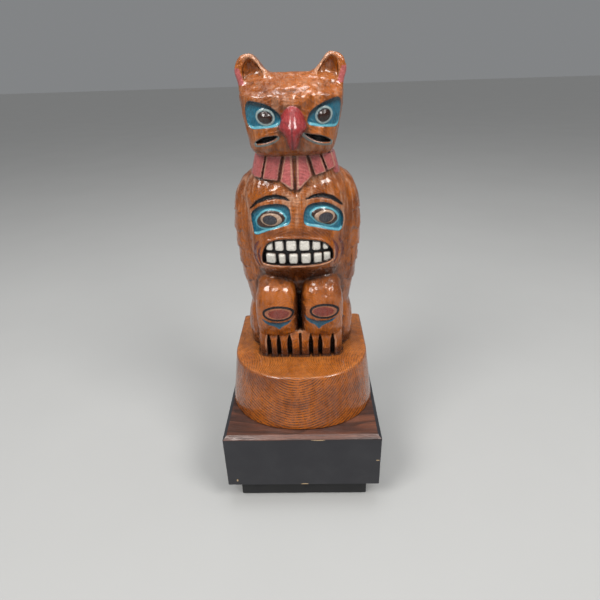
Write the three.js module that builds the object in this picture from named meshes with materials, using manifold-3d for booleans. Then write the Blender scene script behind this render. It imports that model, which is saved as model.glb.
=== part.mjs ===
// Totem pole: an eared bird with a red beak above a crouching bear with bared teeth, carved in one
// piece with its half-round base. It stands on a bevelled block, and the block on a set-back foot.
// Millimetres. +X is to the right of someone facing the totem, +Y is behind it and +Z is up.
// The origin is the middle of the underside.

import * as THREE from "three";
import { mergeVertices } from "three/addons/utils/BufferGeometryUtils.js";
import Module from "manifold-3d";

const wasm = await Module();
wasm.setup();
const { Manifold, Mesh } = wasm;

// Driving dimensions of the stand
const blockWidth = 102;
const blockDepth = 102;
const blockHeight = 42.7;
const blockBevel = 2.5;
const footHeight = 17;
const footInset = 7.3;

// Driving dimensions of the carving
const carvingHeight = 179.5;
const baseHeight = 36;
const baseSideLedge = 9;
const baseFrontLedge = 25.3;
const baseRearLedge = 12;
const baseSideTaper = 4.6;
const baseFrontTaper = 6.2;
const baseRearTaper = 2.5;
const baseRim = 1;
const baseCorner = 1.6;
const baseRoundFrom = 2;
const baseSquareness = 2.25;
const glueGap = 0.3;

// The carving keeps its pose and proportions: all that follows is in shares of 1/180 of its height,
// measured from the middle of the base's top.
const share = carvingHeight / 180;

// What the carving covers of the base's top
const footprint = { half: 36, front: -13, rear: 34 };

// Sections of the forms, from below: height, half width, frontmost and rearmost place, squareness
const back = [
  { z: -2, half: 30, front: 4, rear: 34 },
  { z: 18, half: 32, front: 2, rear: 34 },
  { z: 36, half: 34.2, front: -2, rear: 33.5 },
  { z: 50, half: 36.2, front: -6, rear: 33 },
  { z: 64, half: 37.8, front: -9.5, rear: 32 },
  { z: 77, half: 38.6, front: -11.5, rear: 31 },
  { z: 88, half: 38.8, front: -12.5, rear: 30 },
  { z: 98, half: 38, front: -12.5, rear: 29 },
  { z: 108, half: 36.6, front: -11.5, rear: 27.5 },
  { z: 115, half: 33.2, front: -9.5, rear: 25.5 },
  { z: 120, half: 28, front: -6, rear: 22 },
  { z: 123, half: 20, front: 0, rear: 16 },
];
const belly = [
  { z: 42, half: 20, front: -4, rear: 12 },
  { z: 54, half: 23.5, front: -8, rear: 12 },
  { z: 61, half: 25, front: -13, rear: 12 },
  { z: 65, half: 26, front: -18.5, rear: 12 },
  { z: 68, half: 26.8, front: -21, rear: 12 },
  { z: 73, half: 27.6, front: -22.3, rear: 12 },
  { z: 80, half: 28.2, front: -22.8, rear: 12 },
  { z: 87, half: 28.7, front: -22, rear: 12 },
  { z: 92, half: 29, front: -20.8, rear: 12 },
  { z: 104, half: 29.4, front: -20.6, rear: 12 },
  { z: 112, half: 28.8, front: -20.2, rear: 12 },
  { z: 117, half: 27.4, front: -18.8, rear: 12 },
  { z: 120.5, half: 25, front: -15.8, rear: 10 },
  { z: 122.6, half: 20, front: -10.5, rear: 8 },
];
const neck = [
  { z: 108, half: 26.6, front: -18, rear: 19 },
  { z: 132, half: 20.8, front: -16.4, rear: 16 },
];
const head = [
  { z: 129.5, half: 18.5, front: -17, rear: 14 },
  { z: 132, half: 22.6, front: -22.4, rear: 17 },
  { z: 135, half: 24, front: -24.8, rear: 19 },
  { z: 141, half: 25.2, front: -25.6, rear: 21 },
  { z: 151, half: 27.1, front: -25.6, rear: 22 },
  { z: 157, half: 28, front: -26.2, rear: 22.5 },
  { z: 161.5, half: 28.4, front: -25.8, rear: 22.5 },
  { z: 163, half: 27.8, front: -23, rear: 22.2 },
  { z: 171, half: 25.4, front: -8.4, rear: 17 },
];
const beak = [
  { z: 135.6, half: 1.4, front: -32.8, rear: -18 },
  { z: 138, half: 2.6, front: -34.2, rear: -18 },
  { z: 141.6, half: 3.4, front: -34.8, rear: -18 },
  { z: 143.6, half: 5.4, front: -34.6, rear: -18 },
  { z: 145.6, half: 7.2, front: -34, rear: -18 },
  { z: 148.6, half: 6.4, front: -32.6, rear: -18 },
  { z: 152, half: 4.8, front: -30.4, rear: -18 },
  { z: 154.2, half: 3.6, front: -28.6, rear: -18 },
  { z: 155.6, half: 1.8, front: -26.8, rear: -18 },
];
const knee = [
  { z: 16.5, half: 12.2, front: -13, rear: 6 },
  { z: 18.5, half: 13.2, front: -16.2, rear: 6 },
  { z: 24, half: 13.6, front: -18.6, rear: 6 },
  { z: 32, half: 13.7, front: -20.2, rear: 6 },
  { z: 39, half: 13.6, front: -20.4, rear: 6 },
  { z: 45, half: 13, front: -19.2, rear: 6 },
  { z: 51, half: 11.6, front: -16, rear: 6 },
  { z: 55, half: 9.2, front: -11.6, rear: 5 },
  { z: 57.4, half: 5.4, front: -6.6, rear: 2 },
];
const feet = [
  { z: -2, half: 27.6, front: -13, rear: 12 },
  { z: 3, half: 28, front: -13.4, rear: 12 },
  { z: 14, half: 28, front: -14.4, rear: 12 },
  { z: 20, half: 27.4, front: -13.6, rear: 12 },
];
const haunch = { x: 27.8, y: 16, z: 12, halfWidth: 8.6, halfDepth: 15, halfHeight: 25 };

// Places and sizes of the carved details
const kneeX = 14.4;
const kneeShape = { power: 2.8, points: 24 };
const headX = -0.7;
const toeGrooves = { at: [6.9, 13.7, 21], width: 2.4, depth: 4.4, height: 19, point: 3 };
const feetParting = { width: 1, depth: 2.4 };
const patchDepth = 1.6;
const slitDepth = 2.1;
const cheekDepth = 1.1;
const eyeSink = 3;
const bellyPatch = [
  [4, 94], [4.4, 102.8], [8.4, 105.4], [16.5, 105.4], [22.6, 102.4], [26.8, 97.4], [25.4, 87.2], [14.5, 91.4],
];
const bellyEye = { x: 15.6, z: 97, halfWidth: 7.8, halfHeight: 4.7, rise: 2.4 };
const mouth = { half: 20.5, low: 69.2, high: 85.6, corner: 8, depth: 3.4 };
const upperTeeth = {
  low: 77.9, high: 84.6, at: [3.8, 10.9, 16.3], width: [6.5, 5.7, 4.4], lastShorter: 1.6,
};
const lowerTeeth = { low: 70, high: 76.4, at: [3.6, 10.8, 16.8], width: [5.9, 5.3, 5], lastShorter: 0 };
const toothShape = { set: 1.2, corner: 0.9 };
const cheekGrooves = [
  { x: 22.6, bulge: 2.6, low: 67.6, high: 84, width: 1.3 },
  { x: 25, bulge: 2, low: 71, high: 83, width: 1 },
];
const headPatch = [
  [6.6, 150.8], [11.4, 155.3], [17.6, 157.2], [23.2, 157.4], [24.2, 150.5], [22.8, 143.6], [14.5, 145.5],
  [7.2, 146.6],
];
const headEye = { x: 15, z: 150.6, halfWidth: 4.9, halfHeight: 4.2, rise: 2.6 };
const mouthSlit = [[5.6, 142.8], [11, 141.6], [16, 140.6], [20.3, 137.1], [15, 137.9], [9.6, 139.9]];
const kneeEye = { x: 14.4, y: -19, z: 36.6, halfWidth: 6.6, halfDepth: 14, halfHeight: 3 };
const kneeEyeRim = { width: 2, depth: 0.9 };
const ear = [
  [10, 169], [12.4, 171.8], [15.6, 175.6], [18, 178.8], [20.2, 180], [23, 179.4], [25.8, 178],
  [28, 174.6], [28.4, 171], [27.4, 167.6], [26.4, 163], [12, 163],
];
const earFront = -12;
const earRear = 8;
const earTaper = 0.86;
const earFoot = { x: 20, z: 168 };
const earHollow = { x: 18.2, y: -14, z: 170, halfWidth: 6, halfDepth: 9.5, halfHeight: 7.4 };
const ruffSeams = [0, 17, 43, 72, 100, 128, 155, 180];
const ruffPlank = { high: 131, gap: 1, thick: 3.4, proud: 1.6, low: 120.8, dip: 7.4, dipHalf: 5.2 };
const lobeNotch = [
  [0, 110], [2.9, 115.6], [8.6, 120.6], [8.6, 126], [-8.6, 126], [-8.6, 120.6], [-2.9, 115.6],
];
const brow = { low: 100, high: 116, half: 2.6, depth: 2.6 };
const wingTips = {
  heights: [99, 87, 75.5, 64], proud: 0.8, y: 9, halfWidth: 5.8, halfDepth: 14, halfHeight: 6.6,
};

const RING_POINTS = 32;
const ROUND_POINTS = 16;
const BASE_STEPS = 28;
const SQUARENESS = 2.5;
const FLATNESS = 0.08;

const bend = (v, power) => Math.sign(v) * Math.abs(v) ** (2 / power);

// One closed ring of a form: a squared ellipse whose front and rear halves may differ in depth.
function ring({ z, half, front, rear }, { x = 0, inset = 0, power = SQUARENESS, points = RING_POINTS }) {
  const middle = (front + rear) / 2;
  const deep = (rear - front) / 2 - inset;
  return Array.from({ length: points }, (_, i) => {
    const turn = (2 * Math.PI * i) / points;
    return new THREE.Vector3(
      x + (half - inset) * bend(Math.cos(turn), power),
      middle + deep * bend(Math.sin(turn), power),
      z,
    );
  });
}

// A closed surface through rings of equal length, given from below, with a fan on each end.
function loft(rings) {
  const points = rings[0].length;
  const middle = (r) => r.reduce((sum, p) => sum.add(p), new THREE.Vector3()).divideScalar(points);
  const corners = [...rings.flat(), middle(rings[0]), middle(rings.at(-1))];
  const low = rings.length * points;
  const high = low + 1;
  const faces = [];
  for (let i = 0; i < points; i++) {
    const next = (i + 1) % points;
    faces.push(low, next, i);
    faces.push(high, low - points + i, low - points + next);
    for (let r = 0; r < rings.length - 1; r++) {
      const [a, b] = [r * points + i, r * points + next];
      faces.push(a, b, b + points, a, b + points, a + points);
    }
  }
  return new THREE.BufferGeometry().setFromPoints(corners).setIndex(faces);
}

// A geometry as a solid that can be joined and cut, and a solid as a geometry again.
function solid(geometry) {
  const bare = geometry.clone();
  bare.deleteAttribute("normal");
  bare.deleteAttribute("uv");
  const merged = mergeVertices(bare, 1e-4);
  return new Manifold(new Mesh({
    numProp: 3,
    vertProperties: new Float32Array(merged.attributes.position.array),
    triVerts: new Uint32Array(merged.index.array),
  }));
}

function geometryOf(made) {
  const { vertProperties, triVerts } = made.getMesh();
  return new THREE.BufferGeometry()
    .setAttribute("position", new THREE.BufferAttribute(new Float32Array(vertProperties), 3))
    .setIndex(new THREE.BufferAttribute(new Uint32Array(triVerts), 1));
}

const form = (sections, options = {}) => solid(loft(sections.map((s) => ring(s, options))));
const join = (...solids) => solids.reduce((sum, s) => sum.add(s));
const bothSides = (make) => [make(1), make(-1)];
const mirrored = (points, side) => points.map(([x, z]) => [side * x, z]);

// A prism that looks out along -Y: its outline is drawn in X and Z.
function prism(points, front, rear, { smooth = true, divisions = 3 } = {}) {
  const corners = points.map(([x, z]) => new THREE.Vector2(x, z));
  const count = corners.length * divisions;
  const closed = new THREE.CatmullRomCurve3(
    corners.map((p) => new THREE.Vector3(p.x, p.y, 0)), true, "centripetal",
  );
  const outline = smooth
    ? closed.getPoints(count).slice(0, count).map((p) => new THREE.Vector2(p.x, p.y))
    : corners;
  if (THREE.ShapeUtils.isClockWise(outline)) outline.reverse();
  const geometry = new THREE.ExtrudeGeometry(new THREE.Shape(outline), {
    depth: rear - front,
    bevelEnabled: false,
  });
  return solid(geometry.rotateX(Math.PI / 2).translate(0, rear, 0));
}

function ellipsoid({ x, y, z, halfWidth, halfDepth, halfHeight }, points = ROUND_POINTS) {
  const ball = new THREE.SphereGeometry(1, points, Math.ceil(points / 2));
  return solid(ball.rotateX(Math.PI / 2).scale(halfWidth, halfDepth, halfHeight).translate(x, y, z));
}

// A form's measure between two of its sections
function between(sections, z) {
  const last = sections.length - 1;
  const above = sections.findIndex((s, i) => i > 0 && (s.z >= z || i === last));
  const [low, high] = [sections[above - 1], sections[above]];
  const t = THREE.MathUtils.clamp((z - low.z) / (high.z - low.z), 0, 1);
  return (key) => THREE.MathUtils.lerp(low[key], high[key], t);
}

// The place of a form's front surface, for details that are set into it.
function frontAt(sections, x, z) {
  const mix = between(sections, z);
  const middle = (mix("front") + mix("rear")) / 2;
  const across = Math.min(Math.abs(x) / mix("half"), 1) ** SQUARENESS;
  return middle - (mix("rear") - mix("front")) / 2 * (1 - across) ** (1 / SQUARENESS);
}

// Carves an outline into a form's front to an even depth.
function carve(target, sections, outline, depth, options) {
  const core = form(sections, { inset: depth });
  return target.subtract(prism(outline, -60, 0, options).subtract(core));
}

// The low dome of an eye, set into a form's front.
function eyeball(sections, { x, z, rise, ...size }, side) {
  const y = frontAt(sections, x, z) + eyeSink;
  return ellipsoid({ ...size, x: side * x, y, z, halfDepth: rise + eyeSink });
}

// A groove that bows outwards beside the mouth.
function bowedGroove({ x, bulge, low, high, width }) {
  const mid = (low + high) / 2;
  return [[x, low], [x + bulge, mid], [x, high], [x + bulge - width * 1.6, mid]];
}

// A tooth with softened corners.
function tooth(x, low, high, width) {
  const { set, corner } = toothShape;
  const [l, r] = [x - width / 2, x + width / 2];
  const outline = [
    [l + corner, low], [r - corner, low], [r, low + corner], [r, high - corner],
    [r - corner, high], [l + corner, high], [l, high - corner], [l, low + corner],
  ];
  return prism(outline, frontAt(belly, x, (low + high) / 2) + set, -10, { smooth: false });
}

function mouthOutline({ half, low, high, corner }) {
  const points = [[-half, low], [half, low]];
  for (let i = 0; i <= 4; i++) {
    const turn = (i / 4) * Math.PI / 2;
    points.push([half - corner + corner * Math.cos(turn), high - corner + corner * Math.sin(turn)]);
  }
  for (let i = 4; i >= 0; i--) {
    const turn = (i / 4) * Math.PI / 2;
    points.push([-half + corner - corner * Math.cos(turn), high - corner + corner * Math.sin(turn)]);
  }
  return points;
}

// The bird's ruff: planks round the neck, longest where they meet between the bear's brow lobes
function ruff() {
  const { high, gap, thick, proud, low, dip, dipHalf } = ruffPlank;
  const around = (z, turn, out) => {
    const t = (z - neck[0].z) / (neck[1].z - neck[0].z);
    const half = THREE.MathUtils.lerp(neck[0].half, neck[1].half, t) + out;
    const deep = THREE.MathUtils.lerp(-neck[0].front, -neck[1].front, t) + out;
    return new THREE.Vector3(
      half * bend(Math.sin(turn), SQUARENESS),
      -deep * bend(Math.cos(turn), SQUARENESS),
      z,
    );
  };
  const lowAt = (turn) => {
    const { x, y } = around(low, turn, proud);
    return low - (y < 0 ? dip * Math.exp(-((x / dipHalf) ** 2)) : 0);
  };
  const slack = gap / 2 / neck[0].half;
  const spans = ruffSeams.slice(1).map((seam, i) => [ruffSeams[i], seam]);
  return [...spans, ...spans.map(([start, end]) => [-end, -start])].map((span) => {
    const [start, end] = span.map(THREE.MathUtils.degToRad);
    const [a, b] = [start + slack, end - slack];
    const level = (zOf) => [[a, proud], [b, proud], [b, proud - thick], [a, proud - thick]]
      .map(([turn, out]) => around(zOf(turn), turn, out));
    return solid(loft([level(lowAt), level(() => high)]));
  });
}

// An ear: a stub that narrows towards the back of the head
function earOf(side) {
  const level = (y, size) => ear.map(([x, z]) => new THREE.Vector3(
    headX + side * (earFoot.x + (x - earFoot.x) * size), y, earFoot.z + (z - earFoot.z) * size,
  ));
  const rings = [level(earFront, 1), level(0, 1), level(earRear, earTaper)];
  return solid(loft(side < 0 ? rings.map((r) => r.reverse()) : rings));
}

function birdHead() {
  let made = form(head, { x: headX });
  for (const side of [1, -1]) {
    made = made.add(earOf(side));
    made = made.subtract(ellipsoid({ ...earHollow, x: side * earHollow.x }));
    made = carve(made, head, mirrored(headPatch, side), patchDepth);
    made = carve(made, head, mirrored(mouthSlit, side), slitDepth);
    made = made.add(eyeball(head, headEye, side));
  }
  return made.add(form(beak, { power: 1.7, points: 20 }));
}

// The groove that parts the two lobes of the bear's brow and runs out above its nose
function browGroove() {
  const { low, high, half, depth } = brow;
  const level = (z, size) => [[0, depth * size], [-half * size, -8], [half * size, -8]]
    .map(([x, y]) => new THREE.Vector3(x, frontAt(belly, 0, z) + y, z));
  return solid(loft([level(low, 0.05), level(high, 1)]));
}

function bearFace() {
  let made = form(belly).subtract(prism(lobeNotch, -30, -17.2, { smooth: false }));
  made = made.subtract(browGroove());
  for (const side of [1, -1]) {
    made = carve(made, belly, mirrored(bellyPatch, side), patchDepth);
    for (const groove of cheekGrooves) {
      made = carve(made, belly, mirrored(bowedGroove(groove), side), cheekDepth);
    }
    made = made.add(eyeball(belly, bellyEye, side));
  }
  made = carve(made, belly, mouthOutline(mouth), mouth.depth, { smooth: false });
  for (const { low, high, at, width, lastShorter } of [upperTeeth, lowerTeeth]) {
    at.forEach((x, i) => {
      const top = i === at.length - 1 ? high - lastShorter : high;
      made = join(made, ...bothSides((side) => tooth(side * x, low, top, width[i])));
    });
  }
  return made;
}

function legs() {
  let made = join(
    form(feet, { power: 5 }),
    ...bothSides((side) => form(knee, { x: side * kneeX, ...kneeShape })),
    ...bothSides((side) => ellipsoid({ ...haunch, x: side * haunch.x }, 20)),
  );
  const { at, height, point } = toeGrooves;
  const cuts = [...at, ...at.map((v) => -v)].map((x) => ({ x, ...toeGrooves }));
  for (const { x, width, depth } of [{ x: 0, ...feetParting }, ...cuts]) {
    const [l, r] = [x - width / 2, x + width / 2];
    const groove = [[l, -1], [r, -1], [r, height - point], [x, height], [l, height - point]];
    made = made.subtract(prism(groove, feet[1].front - 10, feet[1].front + depth, { smooth: false }));
  }
  for (const side of [1, -1]) {
    const core = form(knee, { x: side * kneeX, ...kneeShape, inset: kneeEyeRim.depth });
    const oval = (grow) => ellipsoid({
      ...kneeEye,
      x: side * kneeEye.x,
      halfWidth: kneeEye.halfWidth + grow,
      halfHeight: kneeEye.halfHeight + grow,
    });
    made = made.subtract(oval(kneeEyeRim.width).subtract(oval(0)).subtract(core));
  }
  return made;
}

// The base is half round in front and square behind, and narrows upwards.
function baseOutline(half, front, rear) {
  const points = [];
  const deep = baseRoundFrom - front;
  for (let i = 0; i <= BASE_STEPS; i++) {
    const turn = Math.PI + (Math.PI * i) / BASE_STEPS;
    const [x, y] = [bend(Math.cos(turn), baseSquareness), bend(Math.sin(turn), baseSquareness)];
    points.push([half * x, baseRoundFrom + deep * y]);
  }
  const c = baseCorner;
  points.push([half, rear - c], [half - c, rear], [c - half, rear], [-half, rear - c]);
  return points;
}

function carvedBase() {
  const half = footprint.half * share + baseSideLedge;
  const front = footprint.front * share - baseFrontLedge;
  const rear = footprint.rear * share + baseRearLedge;
  const level = (z, sides, fore, aft) =>
    baseOutline(half + sides, front - fore, rear + aft).map(([x, y]) => new THREE.Vector3(x, y, z));
  return solid(loft([
    level(0, baseSideTaper, baseFrontTaper, baseRearTaper),
    level(baseHeight - baseRim, 0, 0, 0),
    level(baseHeight, -baseRim, -baseRim, -baseRim),
  ]));
}

// The ends of the wings' feathers, one above the other down each side
function wingFeathers() {
  const { heights, proud, ...size } = wingTips;
  return bothSides((side) => heights.map((z) => {
    const x = between(back, z)("half") + proud - size.halfWidth;
    return ellipsoid({ ...size, x: side * x, z }, 12);
  })).flat();
}

const figure = join(
  form(back),
  ...wingFeathers(),
  form(neck),
  ...ruff(),
  bearFace(),
  birdHead(),
  legs(),
);

const stand = footHeight + glueGap + blockHeight;
const carving = carvedBase()
  .add(figure.scale([share, share, share]).translate([0, 0, baseHeight]))
  .simplify(FLATNESS);

// The block: a bevelled slab, and the smaller foot that lifts it off the table
function bevelledBlock() {
  const level = (z, inset) => {
    const [x, y] = [blockWidth / 2 - inset, blockDepth / 2 - inset];
    return [[-x, -y], [x, -y], [x, y], [-x, y]].map(([px, py]) => new THREE.Vector3(px, py, z));
  };
  return loft([level(0, 0), level(blockHeight - blockBevel, 0), level(blockHeight, blockBevel)]);
}

function piece(name, geometry, height, colour, roughness) {
  const mesh = new THREE.Mesh(
    geometry,
    new THREE.MeshStandardMaterial({ color: colour, roughness, metalness: 0 }),
  );
  mesh.name = name;
  mesh.position.z = height;
  return mesh;
}

const totem = new THREE.Group();
const footSize = [blockWidth - 2 * footInset, blockDepth - 2 * footInset, footHeight];
totem.add(
  piece("carving", geometryOf(carving), stand + glueGap, 0xa0592c, 0.35),
  piece("block", bevelledBlock(), footHeight + glueGap, 0x202024, 0.5),
  piece("foot", new THREE.BoxGeometry(...footSize).translate(0, 0, footHeight / 2), 0, 0x141416, 0.6),
);

export default totem;
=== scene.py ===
# %% [markdown]
# # A small painted totem on a black plinth
# An eared bird sits above a crouching bear, carved in one with a half-round base, on a bevelled
# block with a smaller foot under it. The measured model is loaded first as a fixed frame: it says
# where each piece is and how big. Everything made below replaces or dresses a piece of that frame.

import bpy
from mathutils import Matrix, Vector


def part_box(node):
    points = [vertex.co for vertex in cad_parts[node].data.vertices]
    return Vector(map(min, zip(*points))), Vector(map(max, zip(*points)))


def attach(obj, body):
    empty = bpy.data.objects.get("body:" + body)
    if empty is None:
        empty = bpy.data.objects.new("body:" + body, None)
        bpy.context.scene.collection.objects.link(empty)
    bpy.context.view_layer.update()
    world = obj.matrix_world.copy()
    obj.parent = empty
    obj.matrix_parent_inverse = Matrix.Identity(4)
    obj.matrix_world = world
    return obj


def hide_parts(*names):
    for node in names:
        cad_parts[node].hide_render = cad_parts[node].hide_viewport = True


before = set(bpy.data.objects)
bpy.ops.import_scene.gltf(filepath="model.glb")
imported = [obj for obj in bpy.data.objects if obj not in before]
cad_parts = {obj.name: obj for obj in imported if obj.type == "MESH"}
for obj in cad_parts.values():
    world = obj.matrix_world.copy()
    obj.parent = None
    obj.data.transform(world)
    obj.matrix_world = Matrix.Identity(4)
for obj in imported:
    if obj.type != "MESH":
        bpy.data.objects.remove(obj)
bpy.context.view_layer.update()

# %% Tools for meshes and numbers
import math

import bpy
import numpy as np
from mathutils import Matrix, Vector
from mathutils.kdtree import KDTree

print("Blender", bpy.app.version_string)

# %% [markdown]
# ## The carving's own measure
# The carver works from the middle of the base's top upwards, so the carving is drawn in shares:
# 1/180 of the figure's height. X is to the viewer's right, Y goes back and Z goes up. One function
# turns shares into the metres of the frame, so the carving lands where the measured one stands.

# %% Shares and metres
SHARE = 0.1795 / 180
BASE_HEIGHT = 0.036
carving_low, carving_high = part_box("carving")
block_low, block_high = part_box("block")
foot_low, foot_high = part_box("foot")
BASE_TOP = carving_low.z + BASE_HEIGHT


def to_metres(points):
    return points * SHARE + np.array([0, 0, BASE_TOP])


def to_shares(points):
    return (points - np.array([0, 0, BASE_TOP])) / SHARE


print("base top at", round(BASE_TOP * 1000, 1), "mm")

# %% [markdown]
# ## Soft joins between forms
# A knife and sandpaper leave no perfectly sharp inner corner. A distance field makes that easy: each
# form gives the distance to its surface, negative inside, and two forms are joined by the smaller
# distance or cut by the larger one. Blending near the seam gives the small fillet a tool leaves.

# %% Field helpers
def step(t):
    """A soft step from 0 to 1."""
    t = np.clip(t, 0, 1)
    return t * t * (3 - 2 * t)


def join(a, b, fillet=0.5):
    """One form from two, with a small fillet where they meet."""
    mix = np.clip(0.5 + 0.5 * (b - a) / fillet, 0, 1)
    return b * (1 - mix) + a * mix - fillet * mix * (1 - mix)


def cut(a, b, fillet=0.5):
    """Only what lies in both forms."""
    return -join(-a, -b, fillet)


def remove(a, tool, fillet=0.5):
    """The first form with the second one taken out of it."""
    return cut(a, -tool, fillet)


print("two walls that meet at 0 are joined at", join(0.0, 0.0))

# %% [markdown]
# ## Forms from a few sections
# The body, head, knees and beak are all squared ovals in plan that swell and shrink as they rise.
# A short table of heights with half width, front and back describes each one. The table is smoothed
# along its height, so that the form has no rings where two rows of the table meet.

# %% Section tables: height, half width, front, back
BACK = [(-2, 30, 4, 34), (18, 32, 2, 34), (36, 34.2, -2, 33.5), (50, 36.2, -6, 33),
        (64, 37.8, -9.5, 32), (77, 38.6, -11.5, 31), (88, 38.8, -12.5, 30), (98, 38, -12.5, 29),
        (108, 36.6, -11.5, 27.5), (115, 33.2, -9.5, 25.5), (120, 28, -6, 22), (123, 20, 0, 16)]
BELLY = [(42, 20, -4, 12), (54, 23.5, -8, 12), (61, 25, -13, 12), (65, 26, -18.5, 12),
         (68, 26.8, -21, 12), (73, 27.6, -22.3, 12), (80, 28.2, -22.8, 12), (87, 28.7, -22, 12),
         (92, 29, -20.8, 12), (104, 29.4, -20.5, 12), (109, 29.2, -19.9, 12),
         (113, 28.6, -18.8, 12), (117, 27.4, -16.9, 12), (120.5, 25, -13.8, 10),
         (122.6, 20, -9.5, 8)]
NECK = [(108, 26.6, -18, 19), (132, 20.8, -16.4, 16)]
HEAD = [(129.5, 18.5, -17, 14), (132, 22.6, -22.4, 17), (135, 24, -24.8, 19),
        (141, 25.2, -25.6, 21), (151, 27.1, -25.6, 22), (157, 28, -26.2, 22.5),
        (161.5, 28.4, -25.8, 22.5), (163, 27.8, -23, 22.2), (171, 25.4, -8.4, 17)]
BEAK = [(135.6, 1.4, -32.8, -18), (138, 2.6, -34.2, -18), (141.6, 3.4, -34.8, -18),
        (143.6, 5.4, -34.6, -18), (145.6, 7.2, -34, -18), (148.6, 6.4, -32.6, -18),
        (152, 4.8, -30.4, -18), (154.2, 3.6, -28.6, -18), (155.6, 1.8, -26.8, -18)]
KNEE = [(16.5, 12.2, -13, 6), (18.5, 13.2, -16.2, 6), (24, 13.6, -18.6, 6), (32, 13.7, -20.2, 6),
        (39, 13.6, -20.4, 6), (45, 13, -19.2, 6), (51, 11.6, -16, 6), (55, 9.2, -11.6, 5),
        (57.4, 5.4, -6.6, 2)]
FEET = [(-2, 27.6, -13, 12), (3, 28, -13.4, 12), (14, 28, -14.4, 12), (20, 27.4, -13.6, 12)]


print("heights in the tables:", sum(len(rows) for rows in (
    BACK, BELLY, NECK, HEAD, BEAK, KNEE, FEET)))


# %% Smooth the tables
def smooth_table(rows, blur=1.3, every=0.25):
    """The rows at even heights, blurred along the height, with the slope of each column."""
    heights = np.arange(rows[0][0], rows[-1][0] + every, every)
    reach = int(3 * blur / every) + 1
    weights = np.exp(-0.5 * (np.arange(-reach, reach + 1) * every / blur) ** 2)
    table = {"z": heights}
    for name, column in zip(("half", "front", "rear"), list(zip(*rows))[1:]):
        raw = np.pad(np.interp(heights, [r[0] for r in rows], column), reach, "edge")
        table[name] = np.convolve(raw, weights / weights.sum(), "valid")
    table["middle"] = (table["front"] + table["rear"]) / 2
    table["deep"] = (table["rear"] - table["front"]) / 2
    for name in ("half", "middle", "deep"):
        table["rise_" + name] = np.gradient(table[name], every)
    return table


TABLES = {name: smooth_table(rows, blur) for name, rows, blur in (
    ("back", BACK, 2), ("belly", BELLY, 1.3), ("neck", NECK, 1), ("head", HEAD, 1.1),
    ("beak", BEAK, 0.5), ("knee", KNEE, 1.2), ("feet", FEET, 1))}
print("sections:", {name: len(table["z"]) for name, table in TABLES.items()})

# %% A form from its table
HAIR = 1e-4
TOP_FILLET, FOOT_FILLET = 1.2, 0.4


def form(x, y, z, name, centre=0.0, power=2.5):
    """Distance to the squared oval form that a table describes."""
    table = TABLES[name]
    half, middle, deep, rise_half, rise_middle, rise_deep = (
        np.interp(z, table["z"], table[key])
        for key in ("half", "middle", "deep", "rise_half", "rise_middle", "rise_deep"))
    aside = np.abs(x - centre) / half + HAIR
    ahead = (y - middle) / deep
    along = np.abs(ahead) + HAIR
    out = (aside**power + along**power) ** (1 / power)
    drift = np.sign(ahead) * rise_middle + along * rise_deep
    lean = -(aside**power * rise_half / half + along ** (power - 1) * drift / deep)
    steep = np.sqrt((aside ** (power - 1) / half) ** 2 + (along ** (power - 1) / deep) ** 2
                    + lean**2)
    wall = (out - 1) * out ** (power - 1) / steep
    return cut(cut(wall, z - table["z"][-1], TOP_FILLET), table["z"][0] - z, FOOT_FILLET)


belly_front = np.interp(80, TABLES["belly"]["z"], TABLES["belly"]["front"])
print("the belly's front at 80 shares:", round(float(belly_front), 1))

# %% [markdown]
# ## Shapes drawn on the front
# Sockets, mouth, teeth and brows are drawn on the front as a carver pencils them, and then cut to an
# even depth below the curved face. Each drawn shape gives a distance to its outline, which serves
# twice: for the depth of the cut, and later for the edge of the paint.

# %% Distance to straight pieces
REACH = 3.0


def nearest(x, z, starts, ends):
    """Distance to each straight piece, and how far along it the nearest place is."""
    run = ends - starts
    px, pz = x[:, None] - starts[:, 0], z[:, None] - starts[:, 1]
    along = np.clip((px * run[:, 0] + pz * run[:, 1]) / (run**2).sum(1), 0, 1)
    gap = np.hypot(px - along * run[:, 0], pz - along * run[:, 1])
    return gap, along


def near_box(x, z, corners):
    low, high = corners.min(0) - REACH, corners.max(0) + REACH
    return (x > low[0]) & (x < high[0]) & (z > low[1]) & (z < high[1])


print("distances count up to", REACH, "shares")


# %% Distance to an outline
def outline(x, z, corners):
    """Distance outside a closed outline, negative inside, and at most REACH."""
    x, z = np.broadcast_arrays(x, z)
    starts = np.array(corners, float)
    ends = np.roll(starts, -1, axis=0)
    near = near_box(x, z, starts)
    px, pz = x[near], z[near]
    gap = nearest(px, pz, starts, ends)[0].min(1)
    rise = ends[:, 1] - starts[:, 1]
    rise[rise == 0] = 1e-9
    run = (pz[:, None] - starts[:, 1]) * (ends[:, 0] - starts[:, 0]) / rise
    crossed = ((starts[:, 1] > pz[:, None]) != (ends[:, 1] > pz[:, None])) & (
        px[:, None] < starts[:, 0] + run)
    found = np.full(x.shape, REACH)
    found[near] = np.where(crossed.sum(1) % 2 == 1, -gap, np.minimum(gap, REACH))
    return found


square = [(-1, -1), (1, -1), (1, 1), (-1, 1)]
print("middle of a square, 1 from its edge:", outline(np.zeros(1), np.zeros(1), square)[0])

# %% Distance to a stroke of the knife
STROKE_TAPER = 0.6


def stroke(x, z, corners, width):
    """Distance to a stroke of a knife that is widest in its middle and tapers to its ends."""
    x, z = np.broadcast_arrays(x, z)
    points = np.array(corners, float)
    near = near_box(x, z, points)
    gap, along = nearest(x[near], z[near], points[:-1], points[1:])
    closest = gap.argmin(1)
    rows = np.arange(len(closest))
    place = (closest + along[rows, closest]) / (len(points) - 1)
    found = np.full(x.shape, REACH)
    half = width / 2 * np.sin(np.pi * place) ** STROKE_TAPER
    found[near] = np.minimum(gap[rows, closest] - half, REACH)
    return found


print("middle of a stroke 1 wide:", stroke(np.zeros(1), np.zeros(1), [(-2, 0), (2, 0)], 1)[0])


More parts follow.
